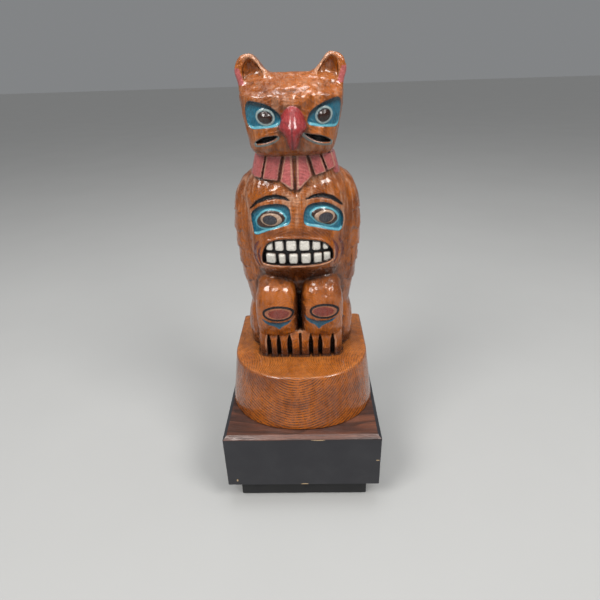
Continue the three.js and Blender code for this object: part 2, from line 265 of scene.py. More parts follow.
# %% Rounded outlines and ovals
def rounded(corners, times=2):
    """The outline with its corners cut off a few times, which rounds it."""
    points = np.array(corners, float)
    for _ in range(times):
        after = np.roll(points, -1, axis=0)
        points = np.stack([points * 0.75 + after * 0.25, points * 0.25 + after * 0.75], 1)
        points = points.reshape(-1, 2)
    return points


def oval(x, z, centre, half):
    """Distance outside an oval, negative inside."""
    sx, sz = (x - centre[0]) / half[0], (z - centre[1]) / half[1]
    out = np.sqrt(sx**2 + sz**2) + 1e-6
    return (out - 1) * out / np.sqrt((sx / half[0]) ** 2 + (sz / half[1]) ** 2 + 1e-9)


print("a square rounded twice has", len(rounded(square)), "points")

# %% [markdown]
# ## The drawing of the two faces
# The left and right sides differ a little, as hand work does, so both are drawn. All points are
# pairs of X and Z in shares.

# %% The bird's face
BIRD_SOCKETS = [rounded(p) for p in (
    [(-22.8, 157.4), (-17.8, 157.3), (-12.9, 156.7), (-9.3, 154.7), (-5.2, 151.2), (-6.4, 146.2),
     (-15.6, 145), (-22.9, 143.2), (-24.6, 151.3)],
    [(24.6, 157.7), (18.8, 157.6), (12.2, 155.5), (8, 152.1), (6.9, 146.8), (12.9, 145.5),
     (18.5, 144.4), (23.6, 143.1), (24.7, 150.1)])]
BIRD_EYES = [((-13.8, 150.4), (3.7, 2.8)), ((15.9, 150.5), (3.2, 2.9))]
SLITS = [rounded(p, 1) for p in (
    [(-20.9, 136.6), (-16.2, 140.6), (-11.5, 141.7), (-6.6, 142), (-10.8, 139.2), (-15.8, 137.6)],
    [(4.3, 143.5), (10.3, 142), (15.8, 140.9), (20.9, 136.7), (14.5, 137.6), (9, 140)])]
BROW_FROM = (0, 5, 8.8, 14, 19, 30)
BROW_HEIGHT = (154.4, 156.4, 160, 163.6, 166, 167)
BROW_LINE = list(zip(BROW_FROM, BROW_HEIGHT))
FOREHEAD = rounded([(-x, z) for x, z in BROW_LINE[:0:-1]] + BROW_LINE + [(30, 185), (-30, 185)], 1)
CLIMB, CLIMB_FROM, CLIMB_MOST = 2.0, 24, 1.1


def on_head(x, z):
    """The head is boxy, so its drawing climbs a little towards the corners as seen from above."""
    return z - CLIMB * np.clip(np.abs(x) / CLIMB_FROM, 0, CLIMB_MOST) ** 3


print("points on a bird's socket:", [len(shape) for shape in BIRD_SOCKETS])

# %% The bear's face
BEAR_SOCKETS = [rounded(p) for p in (
    [(-26.7, 99), (-21.7, 103.7), (-15.8, 105.4), (-8.3, 106), (-3.3, 104.2), (-2.6, 94),
     (-8.8, 92.5), (-16.6, 90.1), (-25, 86), (-25.4, 91.2)],
    [(4.6, 101.6), (6.6, 105), (11.9, 106.2), (18.2, 105.8), (24.8, 101.3), (27.7, 96.1),
     (26.6, 87.2), (20.4, 89.3), (12.2, 91.9), (4.7, 93.1), (4, 96.6)])]
BEAR_EYES = [rounded(p, 1) for p in (
    [(-23, 95.6), (-18.5, 100.8), (-13.4, 102), (-8.2, 100.7), (-5.6, 96.7), (-10.7, 92.9),
     (-16.6, 91.6), (-22, 92.1)],
    [(8, 100), (12.3, 102.4), (16.8, 102.2), (21.4, 100), (24.2, 95.4), (20.6, 92.3),
     (15.2, 93.7), (11, 96.1)])]
BEAR_BANDS = [((-14.2, 96.7), (6.2, 3.7)), ((16.2, 97.6), (5.9, 3.8))]
BEAR_PUPILS = [((-14.9, 96.5), (3.9, 2.5)), ((16.9, 97.2), (3.8, 2.7))]
BROWS = [[(-26.8, 101.4), (-21.7, 106.2), (-16.4, 108.6), (-10.9, 109.5), (-6.1, 108.7),
          (-3, 107)],
         [(5.2, 107.7), (10.4, 109.4), (15.3, 109.5), (20.3, 107.9), (23.8, 105.3), (26.9, 102.2)]]
BROW_WIDTH = 2.3
MOUTH = rounded([(-20.6, 76.7), (-17.8, 82.8), (-12.2, 85.5), (-4, 85.9), (6, 85.6), (15.4, 84),
                 (19.8, 80), (21.4, 76.6), (21, 68.8), (-20, 68.6), (-21.2, 71.4)])
UPPER_TEETH = [(-18.6, -14), (-13, -7.7), (-6.4, -0.2), (1.3, 7.5), (8.8, 13.8), (14.9, 18.6)]
LOWER_TEETH = [(-18.8, -12.6), (-11.1, -6.9), (-4.9, 0.4), (2.2, 8), (9.6, 14.6), (15.3, 19.8)]
UPPER_SPAN = (78, 84.9)
LOWER_SPAN = (69.6, 76.2)
CREASES = [([(-22, 84), (-24.6, 80), (-25.6, 75), (-25, 70), (-22.6, 65)], 1.7),
           ([(-20.9, 81), (-22.6, 77.6), (-23, 74), (-22.4, 70.6), (-21, 67.6)], 1.1),
           ([(20.8, 84), (22.9, 80.4), (23.6, 76.4), (23.2, 72), (21.6, 68)], 1.5),
           ([(24.2, 84), (26.6, 79.6), (27.3, 74.8), (26.6, 70), (24.4, 66)], 1.4)]
print("teeth:", len(UPPER_TEETH), "above and", len(LOWER_TEETH), "below")

# %% The knees and feet
KNEE_RINGS = [((-13.2, 36.1), (9.3, 4.7)), ((15.8, 37.4), (8.6, 4.5))]
KNEE_OVALS = [((-12.9, 35.9), (6.7, 3.2)), ((15.2, 37.3), (6.5, 3.1))]
CRESCENTS = [rounded(p, 1) for p in (
    [(-25, 32.8), (-20.5, 30.4), (-13, 29.4), (-6.8, 30.4), (-3.6, 33), (-6.4, 28.6),
     (-11.2, 26.4), (-13, 23.6), (-15, 26.4), (-20.6, 27.8)],
    [(2.4, 34.4), (6, 32), (13, 30.6), (20, 31.4), (25, 34.6), (21.4, 30.2), (14.6, 27.4),
     (12.3, 23.6), (10.6, 27.2), (5.4, 29)])]
TOE_GAPS = [(-20.9, 2.7), (-14.4, 2.5), (-7.2, 2.9), (6.9, 2.7), (13, 2.6), (21.2, 2.7)]
TOE_TOP = 19.5
print("toe gaps:", len(TOE_GAPS), "up to", TOE_TOP, "shares")

# %% The notch, ears and ruff
NOTCH = [(0, 110), (2.9, 115.6), (8.6, 120.6), (8.6, 126), (-8.6, 126), (-8.6, 120.6),
         (-2.9, 115.6)]
EAR = rounded([(10, 169), (12.4, 171.8), (15.6, 175.6), (18, 178.6), (20.2, 179.9), (23, 179.5),
               (26, 178.2), (28.2, 174.6), (28.6, 171), (27.4, 167.6), (26.4, 162), (11, 162)], 1)
PLANKS = [[(-24.2, 132), (-15.6, 132), (-18.8, 119), (-26.9, 119.6)],
          [(-14.7, 132), (-6.6, 132), (-9.7, 118.2), (-17.9, 118.8)],
          [(-5, 132), (-1.2, 132), (-0.9, 113.6), (-2.2, 113.4), (-7.9, 117.8)],
          [(1.2, 132), (6.2, 132), (9.2, 120.2), (3.2, 114.2), (1, 112.8)],
          [(7.6, 132), (13.4, 132), (17.2, 121.8), (11.2, 120.6)],
          [(14.4, 132), (20.2, 132), (22.8, 123.6), (18.2, 122.2)]]
SEAMS = np.radians([64, 98, 127, 154, 180])
print("drawn shapes:", len(BIRD_SOCKETS + SLITS + BEAR_SOCKETS + BEAR_EYES + CRESCENTS) + 4)

# %% [markdown]
# ## Relief of the faces
# Each relief function returns how deep the tool goes at a place on the front: positive goes into the
# wood and negative stands proud of it. Socket floors are cut down, and the eyes and lids are what
# the carver leaves standing inside them.

# %% Relief of the bird's face
HEAD_MIDDLE = -0.7
HEAD_POWER = 3.7
FOREHEAD_PROUD, FOREHEAD_EDGE = 1.1, 4.5
BROW_SLOPE, BROW_REACH = 0.34, 8
SLOPE_END, SLOPE_FADE = 159.5, 5
BIRD_SOCKET_DEPTH, BIRD_SOCKET_WALL = 1.7, 1.1
OPEN_SIDE, OPEN_FROM, OPEN_FADE = 0.8, 20, 4
EYE_RIM, EYE_RIM_OUT, EYE_RIM_WIDE = 0.8, 0.6, 0.8
EYE_DOME, EYE_ROUND = 2.6, 3
SLIT_DEPTH, SLIT_WALL = 2.4, 0.9
SLIT_RIM, SLIT_RIM_OUT = 0.35, 0.8


def raised_line(edge, at, wide):
    """1 along a line that runs beside an edge, and 0 away from it."""
    return step(1 - np.abs(edge - at) / wide)


def bird_relief(x, z):
    z = on_head(x, z)
    cut_in = FOREHEAD_PROUD - FOREHEAD_PROUD * step(0.5 - outline(x, z, FOREHEAD) / FOREHEAD_EDGE)
    brow = np.interp(np.abs(x), BROW_FROM, BROW_HEIGHT)
    slope_here = np.clip(z - brow, 0, BROW_REACH) * (1 - step((z - SLOPE_END) / SLOPE_FADE))
    cut_in = cut_in + BROW_SLOPE * slope_here
    open_side = 1 - OPEN_SIDE * step((np.abs(x) - OPEN_FROM) / OPEN_FADE)
    for socket in BIRD_SOCKETS:
        floor_here = step(-outline(x, z, socket) / BIRD_SOCKET_WALL)
        cut_in = cut_in + BIRD_SOCKET_DEPTH * floor_here * open_side
    for centre, half in BIRD_EYES:
        edge = oval(x, z, centre, half)
        cut_in = cut_in - EYE_RIM * step(1.3 - np.abs(edge - EYE_RIM_OUT) / EYE_RIM_WIDE)
        cut_in = cut_in - EYE_DOME * np.sqrt(np.clip(-edge / EYE_ROUND, 0, 1))
    for slit in SLITS:
        edge = outline(x, z, slit)
        cut_in = cut_in + SLIT_DEPTH * step(-edge / SLIT_WALL)
        cut_in = cut_in - SLIT_RIM * raised_line(edge, SLIT_RIM_OUT, SLIT_WALL)
    return cut_in


middle_of_eye = np.array(BIRD_EYES[0][0])[:, None]
print("depth at the middle of an eye:", round(float(bird_relief(*middle_of_eye)[0]), 1), "shares")

# %% Teeth
TOOTH_CORNER = 1.2
TOOTH_LIP_GAP = 0.6


def teeth(x, z):
    """Distance to the nearest tooth, negative on it."""
    nearest_tooth = np.full(np.broadcast(x, z).shape, REACH)
    for spans, (low, high) in ((UPPER_TEETH, UPPER_SPAN), (LOWER_TEETH, LOWER_SPAN)):
        for left, right in spans:
            dx = np.abs(x - (left + right) / 2) - (right - left) / 2 + TOOTH_CORNER
            dz = np.abs(z - (low + high) / 2) - (high - low) / 2 + TOOTH_CORNER
            corner = np.hypot(np.maximum(dx, 0), np.maximum(dz, 0))
            edge = corner + np.minimum(np.maximum(dx, dz), 0) - TOOTH_CORNER
            nearest_tooth = np.minimum(nearest_tooth, edge)
    return np.maximum(nearest_tooth, outline(x, z, MOUTH) + TOOTH_LIP_GAP)


on_a_tooth = teeth(np.array([-2.0]), np.array([72.9]))[0]
print("from the middle of a tooth to its edge:", round(float(-on_a_tooth), 1), "shares")

# %% Relief of the bear's face
FURROW, FURROW_FROM, FURROW_RISE, FURROW_WIDE = 1.6, 101, 14, 2.4
BEAR_SOCKET_DEPTH = 1.5
LID_PROUD, LID_OVER, LID_WALL = 1.3, 0.9, 1.2
LID_LINE, LID_LINE_WIDE = 0.5, 0.6
BAND_DOME, BAND_ROUND = 0.9, 3.4
BAND_LINE, BAND_LINE_WIDE = 0.4, 0.5
PUPIL_LINE, PUPIL_LINE_WIDE = 0.35, 0.55
BROW_DEPTH, BROW_EDGE = 1.2, 1.2
MOUTH_DEPTH, MOUTH_WALL, TOOTH_PROUD = 3.4, 0.9, 2.5
LIP_PROUD, LIP_RIM_OUT, LIP_RIM_WIDE = 0.5, 0.8, 1.1
CREASE_DEPTH, CREASE_EDGE = 0.7, 1.6


def bear_relief(x, z):
    cut_in = FURROW * step((z - FURROW_FROM) / FURROW_RISE) * np.exp(-((x / FURROW_WIDE) ** 2))
    for socket in BEAR_SOCKETS:
        cut_in = cut_in + BEAR_SOCKET_DEPTH * step(-outline(x, z, socket))
    for eye, (band, band_half), (pupil, pupil_half) in zip(BEAR_EYES, BEAR_BANDS, BEAR_PUPILS):
        lid = outline(x, z, eye)
        iris = oval(x, z, band, band_half)
        hole = oval(x, z, pupil, pupil_half)
        cut_in = cut_in - LID_PROUD * step((LID_OVER - lid) / LID_WALL)
        cut_in = cut_in + LID_LINE * raised_line(lid, 0, LID_LINE_WIDE)
        cut_in = cut_in - BAND_DOME * np.sqrt(np.clip(-iris / BAND_ROUND, 0, 1))
        cut_in = cut_in + BAND_LINE * raised_line(iris, 0, BAND_LINE_WIDE)
        cut_in = cut_in + PUPIL_LINE * raised_line(hole, 0, PUPIL_LINE_WIDE)
    for brow in BROWS:
        cut_in = cut_in + BROW_DEPTH * step(0.5 - stroke(x, z, brow, BROW_WIDTH) / BROW_EDGE)
    lip = outline(x, z, MOUTH)
    cut_in = cut_in + MOUTH_DEPTH * step(-lip / MOUTH_WALL)
    cut_in = cut_in - LIP_PROUD * raised_line(lip, LIP_RIM_OUT, LIP_RIM_WIDE)
    cut_in = cut_in - TOOTH_PROUD * step(0.2 - teeth(x, z) / MOUTH_WALL)
    for crease, width in CREASES:
        cut_in = cut_in + CREASE_DEPTH * step(0.5 - stroke(x, z, crease, width) / CREASE_EDGE)
    return cut_in


between_teeth = bear_relief(np.array([0.0]), np.array([77.1]))[0]
print("depth between the rows of teeth:", round(float(between_teeth), 1), "shares")

# %% Relief of the knees
RING_DEPTH, RING_WALL, PAD_LINE_DEPTH, PAD_LINE_WALL = 0.7, 1.0, 0.6, 0.9
CRESCENT_DEPTH, CRESCENT_WALL = 0.6, 0.8
FLAT_FLOOR = 0.6


def knee_relief(x, z):
    cut_in = 0 * (x + z)
    for (ring, ring_half), (pad, pad_half) in zip(KNEE_RINGS, KNEE_OVALS):
        around, inner = oval(x, z, ring, ring_half), oval(x, z, pad, pad_half)
        cut_in = cut_in + RING_DEPTH * step(FLAT_FLOOR - np.abs(around) / RING_WALL)
        cut_in = cut_in + PAD_LINE_DEPTH * step(FLAT_FLOOR - np.abs(inner) / PAD_LINE_WALL)
    for crescent in CRESCENTS:
        cut_in = cut_in + CRESCENT_DEPTH * step(-outline(x, z, crescent) / CRESCENT_WALL)
    return cut_in


print("knee marks:", len(KNEE_RINGS) + len(KNEE_OVALS) + len(CRESCENTS))

# %% [markdown]
# ## The whole figure
# The pieces of the figure are joined here: back with its wings, belly with the bear's face, the
# bird's head with ears and beak, the ruff of planks, knees, feet and haunches. The feathers down the
# sides step out to a tip and fall back below it, like shingles.

# %% Ears
EAR_FRONT, EAR_REAR = -12, 8
EAR_FOOT = (20, 168)
EAR_TAPER = 0.14
EAR_FLOOR, EAR_FLOOR_LEAN = -7, 0.3
EAR_HOLLOW = rounded([(11.2, 166.4), (14.4, 171.6), (18, 176.6), (20.8, 178), (23.2, 176.4),
                      (24.4, 172), (24.2, 166.4)], 1)
EAR_EDGE, HOLLOW_EDGE, HOLLOW_RIM = 2.2, 2.4, 0.9


def one_ear(x, y, z, side):
    size = 1 - EAR_TAPER * np.clip(y / EAR_REAR, 0, 1.2)
    out_x = side * (x - HEAD_MIDDLE)
    flat_x = EAR_FOOT[0] + (out_x - EAR_FOOT[0]) / size
    flat_z = EAR_FOOT[1] + (z - EAR_FOOT[1]) / size
    wall = outline(flat_x, flat_z, EAR) * size
    ear = cut(wall, np.maximum(EAR_FRONT - y, y - EAR_REAR), EAR_EDGE)
    floor_y = EAR_FLOOR - EAR_FLOOR_LEAN * (z - EAR_FOOT[1])
    hollow_in = cut(outline(out_x, z, EAR_HOLLOW), (y - floor_y) * 0.9, HOLLOW_EDGE)
    return remove(ear, hollow_in, HOLLOW_RIM)


def ears(x, y, z):
    return np.minimum(one_ear(x, y, z, -1), one_ear(x, y, z, 1))


print("ears reach from", EAR_FRONT, "to", EAR_REAR, "shares in depth")

# %% The ruff
RUFF_TOP, RUFF_THICK, RUFF_PROUD, RUFF_GAP = 131, 3.4, 1.6, 0.9
RUFF_BACK_FOOT = 120
RUFF_SQUARE = 1.25
RUFF_FLARE, FLARE_FROM, FLARE_REACH = 0.25, 126, 6


def ruff(x, y, z):
    """A shell round the neck, sawn into planks: drawn ones in front, even ones behind."""
    table = TABLES["neck"]
    half = np.interp(z, table["z"], table["half"])
    deep = np.interp(z, table["z"], table["deep"])
    middle = np.interp(z, table["z"], table["middle"])
    shell = form(x, y, z, "neck") - RUFF_PROUD + RUFF_THICK / 2
    across = np.sign(x) * np.abs(x / half) ** RUFF_SQUARE
    ahead = -np.sign(y - middle) * np.abs((y - middle) / deep) ** RUFF_SQUARE
    turn = np.abs(np.arctan2(across, ahead))
    seam = np.min(np.abs(turn[..., None] - SEAMS), axis=-1) * half
    behind = np.maximum((SEAMS[0] - turn) * half, RUFF_BACK_FOOT - z)
    behind = np.maximum(RUFF_GAP / 2 - seam, behind)
    drawn = np.minimum.reduce([outline(x, z, plank) for plank in PLANKS])
    drawn = np.maximum(drawn, (turn - SEAMS[0]) * half)
    plan = np.minimum(behind, drawn)
    flared = shell + RUFF_FLARE * (z - FLARE_FROM) / FLARE_REACH
    slab = cut(np.abs(flared) - RUFF_THICK / 2, plan, 0.5)
    return cut(slab, z - RUFF_TOP, 0.4)


print("planks:", len(PLANKS), "in front and", 2 * len(SEAMS) - 3, "seams behind")

# %% Feathers of the wings
WING_ROWS = (99, 87, 75.3, 63.3, 51.3)
WING_FROM, WING_FADE = 0.78, 0.12
WING_FRONT, WING_REAR, WING_EDGE = -7, 27, 4
FEATHER_WIDE, FEATHER_LONG, FEATHER_POINT = 8.6, 11.5, 3.2
FEATHER_PROUD, FEATHER_GROOVE = 0.85, 0.35
SCORE_DEPTH, SCORE_OUT, SCORE_WIDE = 0.5, 33.8, 0.9
SCORE_LOW, SCORE_HIGH = 56, 108


def feathers(x, y, z):
    """How far the wings' feathers stand out on the sides, less the scored line before them."""
    half = np.interp(z, TABLES["back"]["z"], TABLES["back"]["half"])
    side = step((np.abs(x) / half - WING_FROM) / WING_FADE)
    side = side * step((y - WING_FRONT) / WING_EDGE) * step((WING_REAR - y) / WING_EDGE)
    out = 0 * (y + z)
    for row, tip in enumerate(WING_ROWS):
        across = np.mod(y - FEATHER_WIDE / 2 * (row % 2), FEATHER_WIDE) / FEATHER_WIDE * 2 - 1
        above = z - tip + FEATHER_POINT * np.sqrt(1 - across**2 + 1e-9) - 1
        shingle = step((above + 0.5) / 0.8) * np.clip(1 - above / FEATHER_LONG, 0, 1)
        out = out + FEATHER_PROUD * shingle - FEATHER_GROOVE * raised_line(above, -0.9, 0.9)
    score = raised_line(np.abs(x) + 0.02 * np.abs(z - 90), SCORE_OUT, SCORE_WIDE) * (y < 2)
    score = score * step((SCORE_HIGH - z) / 6) * step((z - SCORE_LOW) / 8)
    return side * out - SCORE_DEPTH * score


print("rows of feathers:", len(WING_ROWS))

# %% Knees, feet and toes
KNEE_MIDDLE, KNEE_POWER = 14.4, 2.8
FEET_POWER = 5
TOE_FADE, TOE_BACK = 9, 8.6
PARTING_WIDE, PARTING_BACK, PARTING_TOP = 0.7, 11.4, 18
HAUNCH_AT, HAUNCH_SIZE = (27.8, 16, 12), (8.6, 15, 25)
KNEE_FILLET, TOE_FILLET, PARTING_FILLET, HAUNCH_FILLET = 0.6, 0.7, 0.8, 0.8


def ellipsoid(x, y, z, centre, half):
    """Distance outside an ellipsoid, negative inside."""
    sx, sy, sz = ((v - c) / h for v, c, h in zip((x, y, z), centre, half))
    out = np.sqrt(sx**2 + sy**2 + sz**2) + 1e-6
    steep = np.sqrt((sx / half[0]) ** 2 + (sy / half[1]) ** 2 + (sz / half[2]) ** 2) + 1e-9
    return (out - 1) * out / steep


def legs_and_feet(x, y, z, front):
    knees = np.minimum(form(x, y, z, "knee", -KNEE_MIDDLE, KNEE_POWER),
                       form(x, y, z, "knee", KNEE_MIDDLE, KNEE_POWER))
    knees = knees + knee_relief(x, z) * front
    legs = join(form(x, y, z, "feet", 0, FEET_POWER), knees, KNEE_FILLET)
    toe = np.full(np.broadcast(x, z).shape, REACH)
    for middle, width in TOE_GAPS:
        spread = width / 2 * step((TOE_TOP - z) / TOE_FADE)
        toe = np.minimum(toe, np.abs(x - middle) - spread + REACH * step((z - TOE_TOP) / 0.6))
    legs = remove(legs, np.maximum(toe, y + TOE_BACK), TOE_FILLET)
    parting = np.maximum(y + PARTING_BACK, z - PARTING_TOP)
    legs = remove(legs, np.maximum(np.abs(x) - PARTING_WIDE, parting), PARTING_FILLET)
    for side in (-1, 1):
        haunch = ellipsoid(side * x, y, z, HAUNCH_AT, HAUNCH_SIZE)
        legs = join(legs, haunch, HAUNCH_FILLET)
    return legs


print("haunches at", HAUNCH_AT, "shares")

# %% The figure's field
FIGURE_FOOT = -1.9
FRONT_EDGE, FRONT_FADE = 2, 4
NOTCH_BACK = 15.9
NOTCH_FILLET, BELLY_FILLET, NECK_FILLET, LEG_FILLET = 0.5, 1.2, 0.6, 0.6
EAR_FILLET, BEAK_FILLET = 2.4, 0.5
BEAK_POWER = 1.7
BEAK_GROOVE, GROOVE_WIDE, GROOVE_TOP = 0.3, 0.8, 146


def beak_form(x, y, z):
    return form(x, y, z, "beak", 0, BEAK_POWER)


def figure(x, y, z):
    """Distance to the whole figure, in shares, negative inside the wood."""
    front = step((FRONT_EDGE - y) / FRONT_FADE)
    body = form(x, y, z, "back") - feathers(x, y, z)
    belly = form(x, y, z, "belly") + bear_relief(x, z) * front
    notch = cut(outline(x, z, NOTCH), y + NOTCH_BACK, 0.3)
    belly = remove(belly, notch, NOTCH_FILLET)
    body = join(body, belly, BELLY_FILLET)
    body = join(body, form(x, y, z, "neck"), NECK_FILLET)
    body = np.minimum(body, ruff(x, y, z))
    body = join(body, legs_and_feet(x, y, z, front), LEG_FILLET)
    head = form(x, y, z, "head", HEAD_MIDDLE, HEAD_POWER) + bird_relief(x, z) * front
    head = join(head, ears(x, y, z), EAR_FILLET)
    groove = BEAK_GROOVE * step(1 - np.abs(x) / GROOVE_WIDE) * step((GROOVE_TOP - z) / 3)
    head = join(head, beak_form(x, y, z) + groove, BEAK_FILLET)
    return np.maximum(np.minimum(body, head), FIGURE_FOOT - z)


inside_belly = np.array([[0.0], [0.0], [80.0]])
print("the middle of the belly is", -round(float(figure(*inside_belly)[0]), 1), "shares inside")

# %% [markdown]
# ## From field to mesh
# The field is sampled on a grid, finer in front where the faces are. Each cell that the surface
# crosses gets one point, and neighbouring cells are joined by four-sided faces, which gives even
# quads. The points are then moved along the slope until they lie on the surface.

# %% Skin the field
GRID_X = np.arange(-42, 42.1, 0.75)
GRID_Y = np.concatenate([np.arange(-38, -8.9, 0.7), np.arange(-8, 37.5, 1.4)])
GRID_Z = np.arange(-3.1, 183.6, 0.75)


def skin(field, xs, ys, zs):
    """Points and four-sided faces where a field crosses zero."""
    value = field(xs[:, None, None], ys[None, :, None], zs[None, None, :])
    inside = value < 0
    size = np.array(value.shape) - 1
    corners = [(i, j, k) for i in (0, 1) for j in (0, 1) for k in (0, 1)]
    filled = sum(inside[i:i + size[0], j:j + size[1], k:k + size[2]].astype(np.int8)
                 for i, j, k in corners)
    cells = np.argwhere((filled > 0) & (filled < 8))
    number = np.full(size, -1)
    number[tuple(cells.T)] = np.arange(len(cells))
    places = [np.stack([xs[cells[:, 0] + i], ys[cells[:, 1] + j], zs[cells[:, 2] + k]], 1)
              for i, j, k in corners]
    values = [value[tuple((cells + np.array(c)).T)] for c in corners]
    total = np.zeros((len(cells), 3))
    count = np.zeros(len(cells))
    for a in range(8):
        for b in range(a + 1, 8):
            if sum(abs(p - q) for p, q in zip(corners[a], corners[b])) != 1:
                continue
            crossed = (values[a] < 0) != (values[b] < 0)
            t = np.where(crossed, values[a] / np.where(crossed, values[a] - values[b], 1), 0)
            place = places[a] + (places[b] - places[a]) * t[:, None]
            total += np.where(crossed[:, None], place, 0)
            count += crossed
    faces = []
    for axis in range(3):
        u, v = np.eye(3, dtype=int)[(axis + 1) % 3], np.eye(3, dtype=int)[(axis + 2) % 3]
        low = np.take(inside, range(inside.shape[axis] - 1), axis)
        high = np.take(inside, range(1, inside.shape[axis]), axis)
        edges = np.argwhere(low != high)
        ring = [number[tuple((edges - offset).T)] for offset in (0 * u, u, u + v, v)]
        quads = np.stack(ring, 1)
        out = low[tuple(edges.T)]
        faces.append(np.where(out[:, None], quads, quads[:, ::-1]))
    return total / count[:, None], np.concatenate(faces)


def slope(field, points, reach=0.06):
    """The field at each point, and the direction in which it grows."""
    here = field(*points.T)
    ahead = [field(*(points + reach * axis).T) for axis in np.eye(3)]
    return here, (np.stack(ahead, 1) - here[:, None]) / reach


figure_points, figure_faces = skin(figure, GRID_X, GRID_Y, GRID_Z)
print("figure:", len(figure_points), "points,", len(figure_faces), "quads")

# %% Settle the points on the surface
LEAST_SLOPE, LONGEST_MOVE = 0.3, 0.35
for _ in range(2):
    off, lean = slope(figure, figure_points)
    steepness = np.maximum((lean**2).sum(1), LEAST_SLOPE)[:, None]
    move = -off[:, None] * lean / steepness
    length = np.linalg.norm(move, axis=1)[:, None]
    figure_points += move * np.minimum(1, LONGEST_MOVE / np.maximum(length, 1e-9))
print("left off the surface:", round(float(np.abs(figure(*figure_points.T)).mean()), 4))

# %% [markdown]
# ## Where the paint goes
# Paint follows the carving, so each painted shape is found from the same drawing as its relief. For
# any place, these functions give the distance to the edge of each paint. The tool marks below use
# them to spare what is painted, and the material uses them later to draw the edges.

# %% Distances to the paint round the eyes
# Shifted socket outlines: the lower ones place painted light along the sockets' lower edges, the
# upper ones painted shade along their tops.
LOW_SHIFT, LOW_ASIDE, TOP_SHIFT = 1.5, 0.3, 2.6
BEAR_LOW_SHIFT, BEAR_TOP_SHIFT = 1.4, 2.2
RIM_OUT, RIM_WIDE, EYE_LINE_OUT, EYE_LINE_WIDE = 0.75, 0.5, 0.05, 0.28


def closest(distances):
    """The smallest of several distances, and at most REACH."""
    return np.minimum(np.minimum.reduce(distances), REACH)


def all_sockets(x, z, head_z, aside=0.0, bird_shift=0.0, bear_shift=0.0):
    bird = [outline(x + aside, head_z + bird_shift, shape) for shape in BIRD_SOCKETS]
    return closest(bird + [outline(x, z + bear_shift, shape) for shape in BEAR_SOCKETS])


def eye_marks(x, z, head_z):
    eyes = closest([oval(x, head_z, *eye) for eye in BIRD_EYES])
    return {"teal": all_sockets(x, z, head_z),
            "teal_lit_low": all_sockets(x, z, head_z, LOW_ASIDE, -LOW_SHIFT, -BEAR_LOW_SHIFT),
            "teal_shade_top": all_sockets(x, z, head_z, 0, TOP_SHIFT, BEAR_TOP_SHIFT),
            "lid": closest([outline(x, z, eye) for eye in BEAR_EYES]),
            "almond": closest([oval(x, z, *band) for band in BEAR_BANDS]),
            "pupil": closest([oval(x, z, *pupil) for pupil in BEAR_PUPILS]),
            "eyeball": eyes, "rim": np.abs(eyes - RIM_OUT) - RIM_WIDE,
            "eye_line": np.abs(eyes - EYE_LINE_OUT) - EYE_LINE_WIDE}


print("marks round the eyes:", len(eye_marks(*np.zeros((3, 1)))))

# %% Distances to the paint of mouths and creases
# Two bands of painted shade: on the chin under the mouth, and above the upper teeth.
CHIN_TOP, CHIN_SAG, CHIN_FOOT, CHIN_HALF = 67.4, 0.006, 57, 25
UPPER_LIP_AT, UPPER_LIP_TALL, UPPER_LIP_HALF = 89.2, 2.2, 19
SLIT_LIP_SHIFT, SLIT_LIP_OUT, SLIT_LIP_WIDE = 0.7, 0.3, 0.5
LIP_OUT, LIP_WIDE, LIP_FADE_FROM, LIP_FADE = 0.5, 0.3, 72, 0.3
CREASE_PAINT = 1.3


def mouth_marks(x, z, head_z):
    mouth = outline(x, z, MOUTH)
    slit_lip = closest([outline(x, head_z + SLIT_LIP_SHIFT, slit) for slit in SLITS])
    lip = np.abs(mouth - LIP_OUT) + np.maximum(0, z - LIP_FADE_FROM) * LIP_FADE
    chin_shade = np.maximum(z - CHIN_TOP + CHIN_SAG * x**2, CHIN_FOOT - z)
    return {"tooth": teeth(x, z), "lip": np.minimum(lip, REACH) - LIP_WIDE,
            "slit_lip": np.abs(slit_lip - SLIT_LIP_OUT) - SLIT_LIP_WIDE,
            "crease": closest([stroke(x, z, crease, width * CREASE_PAINT)
                               for crease, width in CREASES]),
            "chin_shade": np.maximum(chin_shade, np.abs(x) - CHIN_HALF),
            "upper_lip_shade": np.maximum(np.abs(z - UPPER_LIP_AT) - UPPER_LIP_TALL,
                                    np.abs(x) - UPPER_LIP_HALF)}


print("marks round the mouths:", len(mouth_marks(*np.zeros((3, 1)))))

# %% Distances to the black lines
TOE_INK_FOOT, TOE_INK_RISE, TOE_INK_MORE = 0.2, 0.5, 0.1
MOUTH_INK_GAP = 0.1
RING_INK = 0.75


def ink_mark(x, z, head_z):
    black = [np.maximum(outline(x, z, MOUTH) + MOUTH_INK_GAP, -teeth(x, z))]
    black += [outline(x, head_z, slit) for slit in SLITS]
    black += [stroke(x, z, brow, BROW_WIDTH) for brow in BROWS]
    toes = np.where((z > TOE_INK_FOOT) & (z < TOE_TOP), 0, REACH)
    for middle, width in TOE_GAPS:
        spread = width / 2 * step((TOE_TOP + TOE_INK_RISE - z) / TOE_FADE) + TOE_INK_MORE
        black.append(np.abs(x - middle) - spread + toes)
    black += [np.abs(oval(x, z, *ring)) - RING_INK for ring in KNEE_RINGS]
    return closest(black)


print("ink at the first toe gap:", ink_mark(np.array([TOE_GAPS[0][0]]), np.array([5.0]),
                                          np.array([5.0])).round(2))

# %% Distances to reds and pinks
RED_OVER, RIDGE_OVER, RIDGE_AT, RIDGE_WIDE, RIDGE_TOP = 0.35, 0.6, -0.1, 0.55, 146.5
PATCH_OUT, PATCH_LEAN, PATCH_FROM = 23.7, 0.3, 166
PATCH_LOW, PATCH_HIGH, PATCH_BACK = 165.4, 173.2, -2
PLANK_PAINT, PLANK_EDGE_OVER = 0.25, 0.3
KNEE_BAND_IN = 0.4


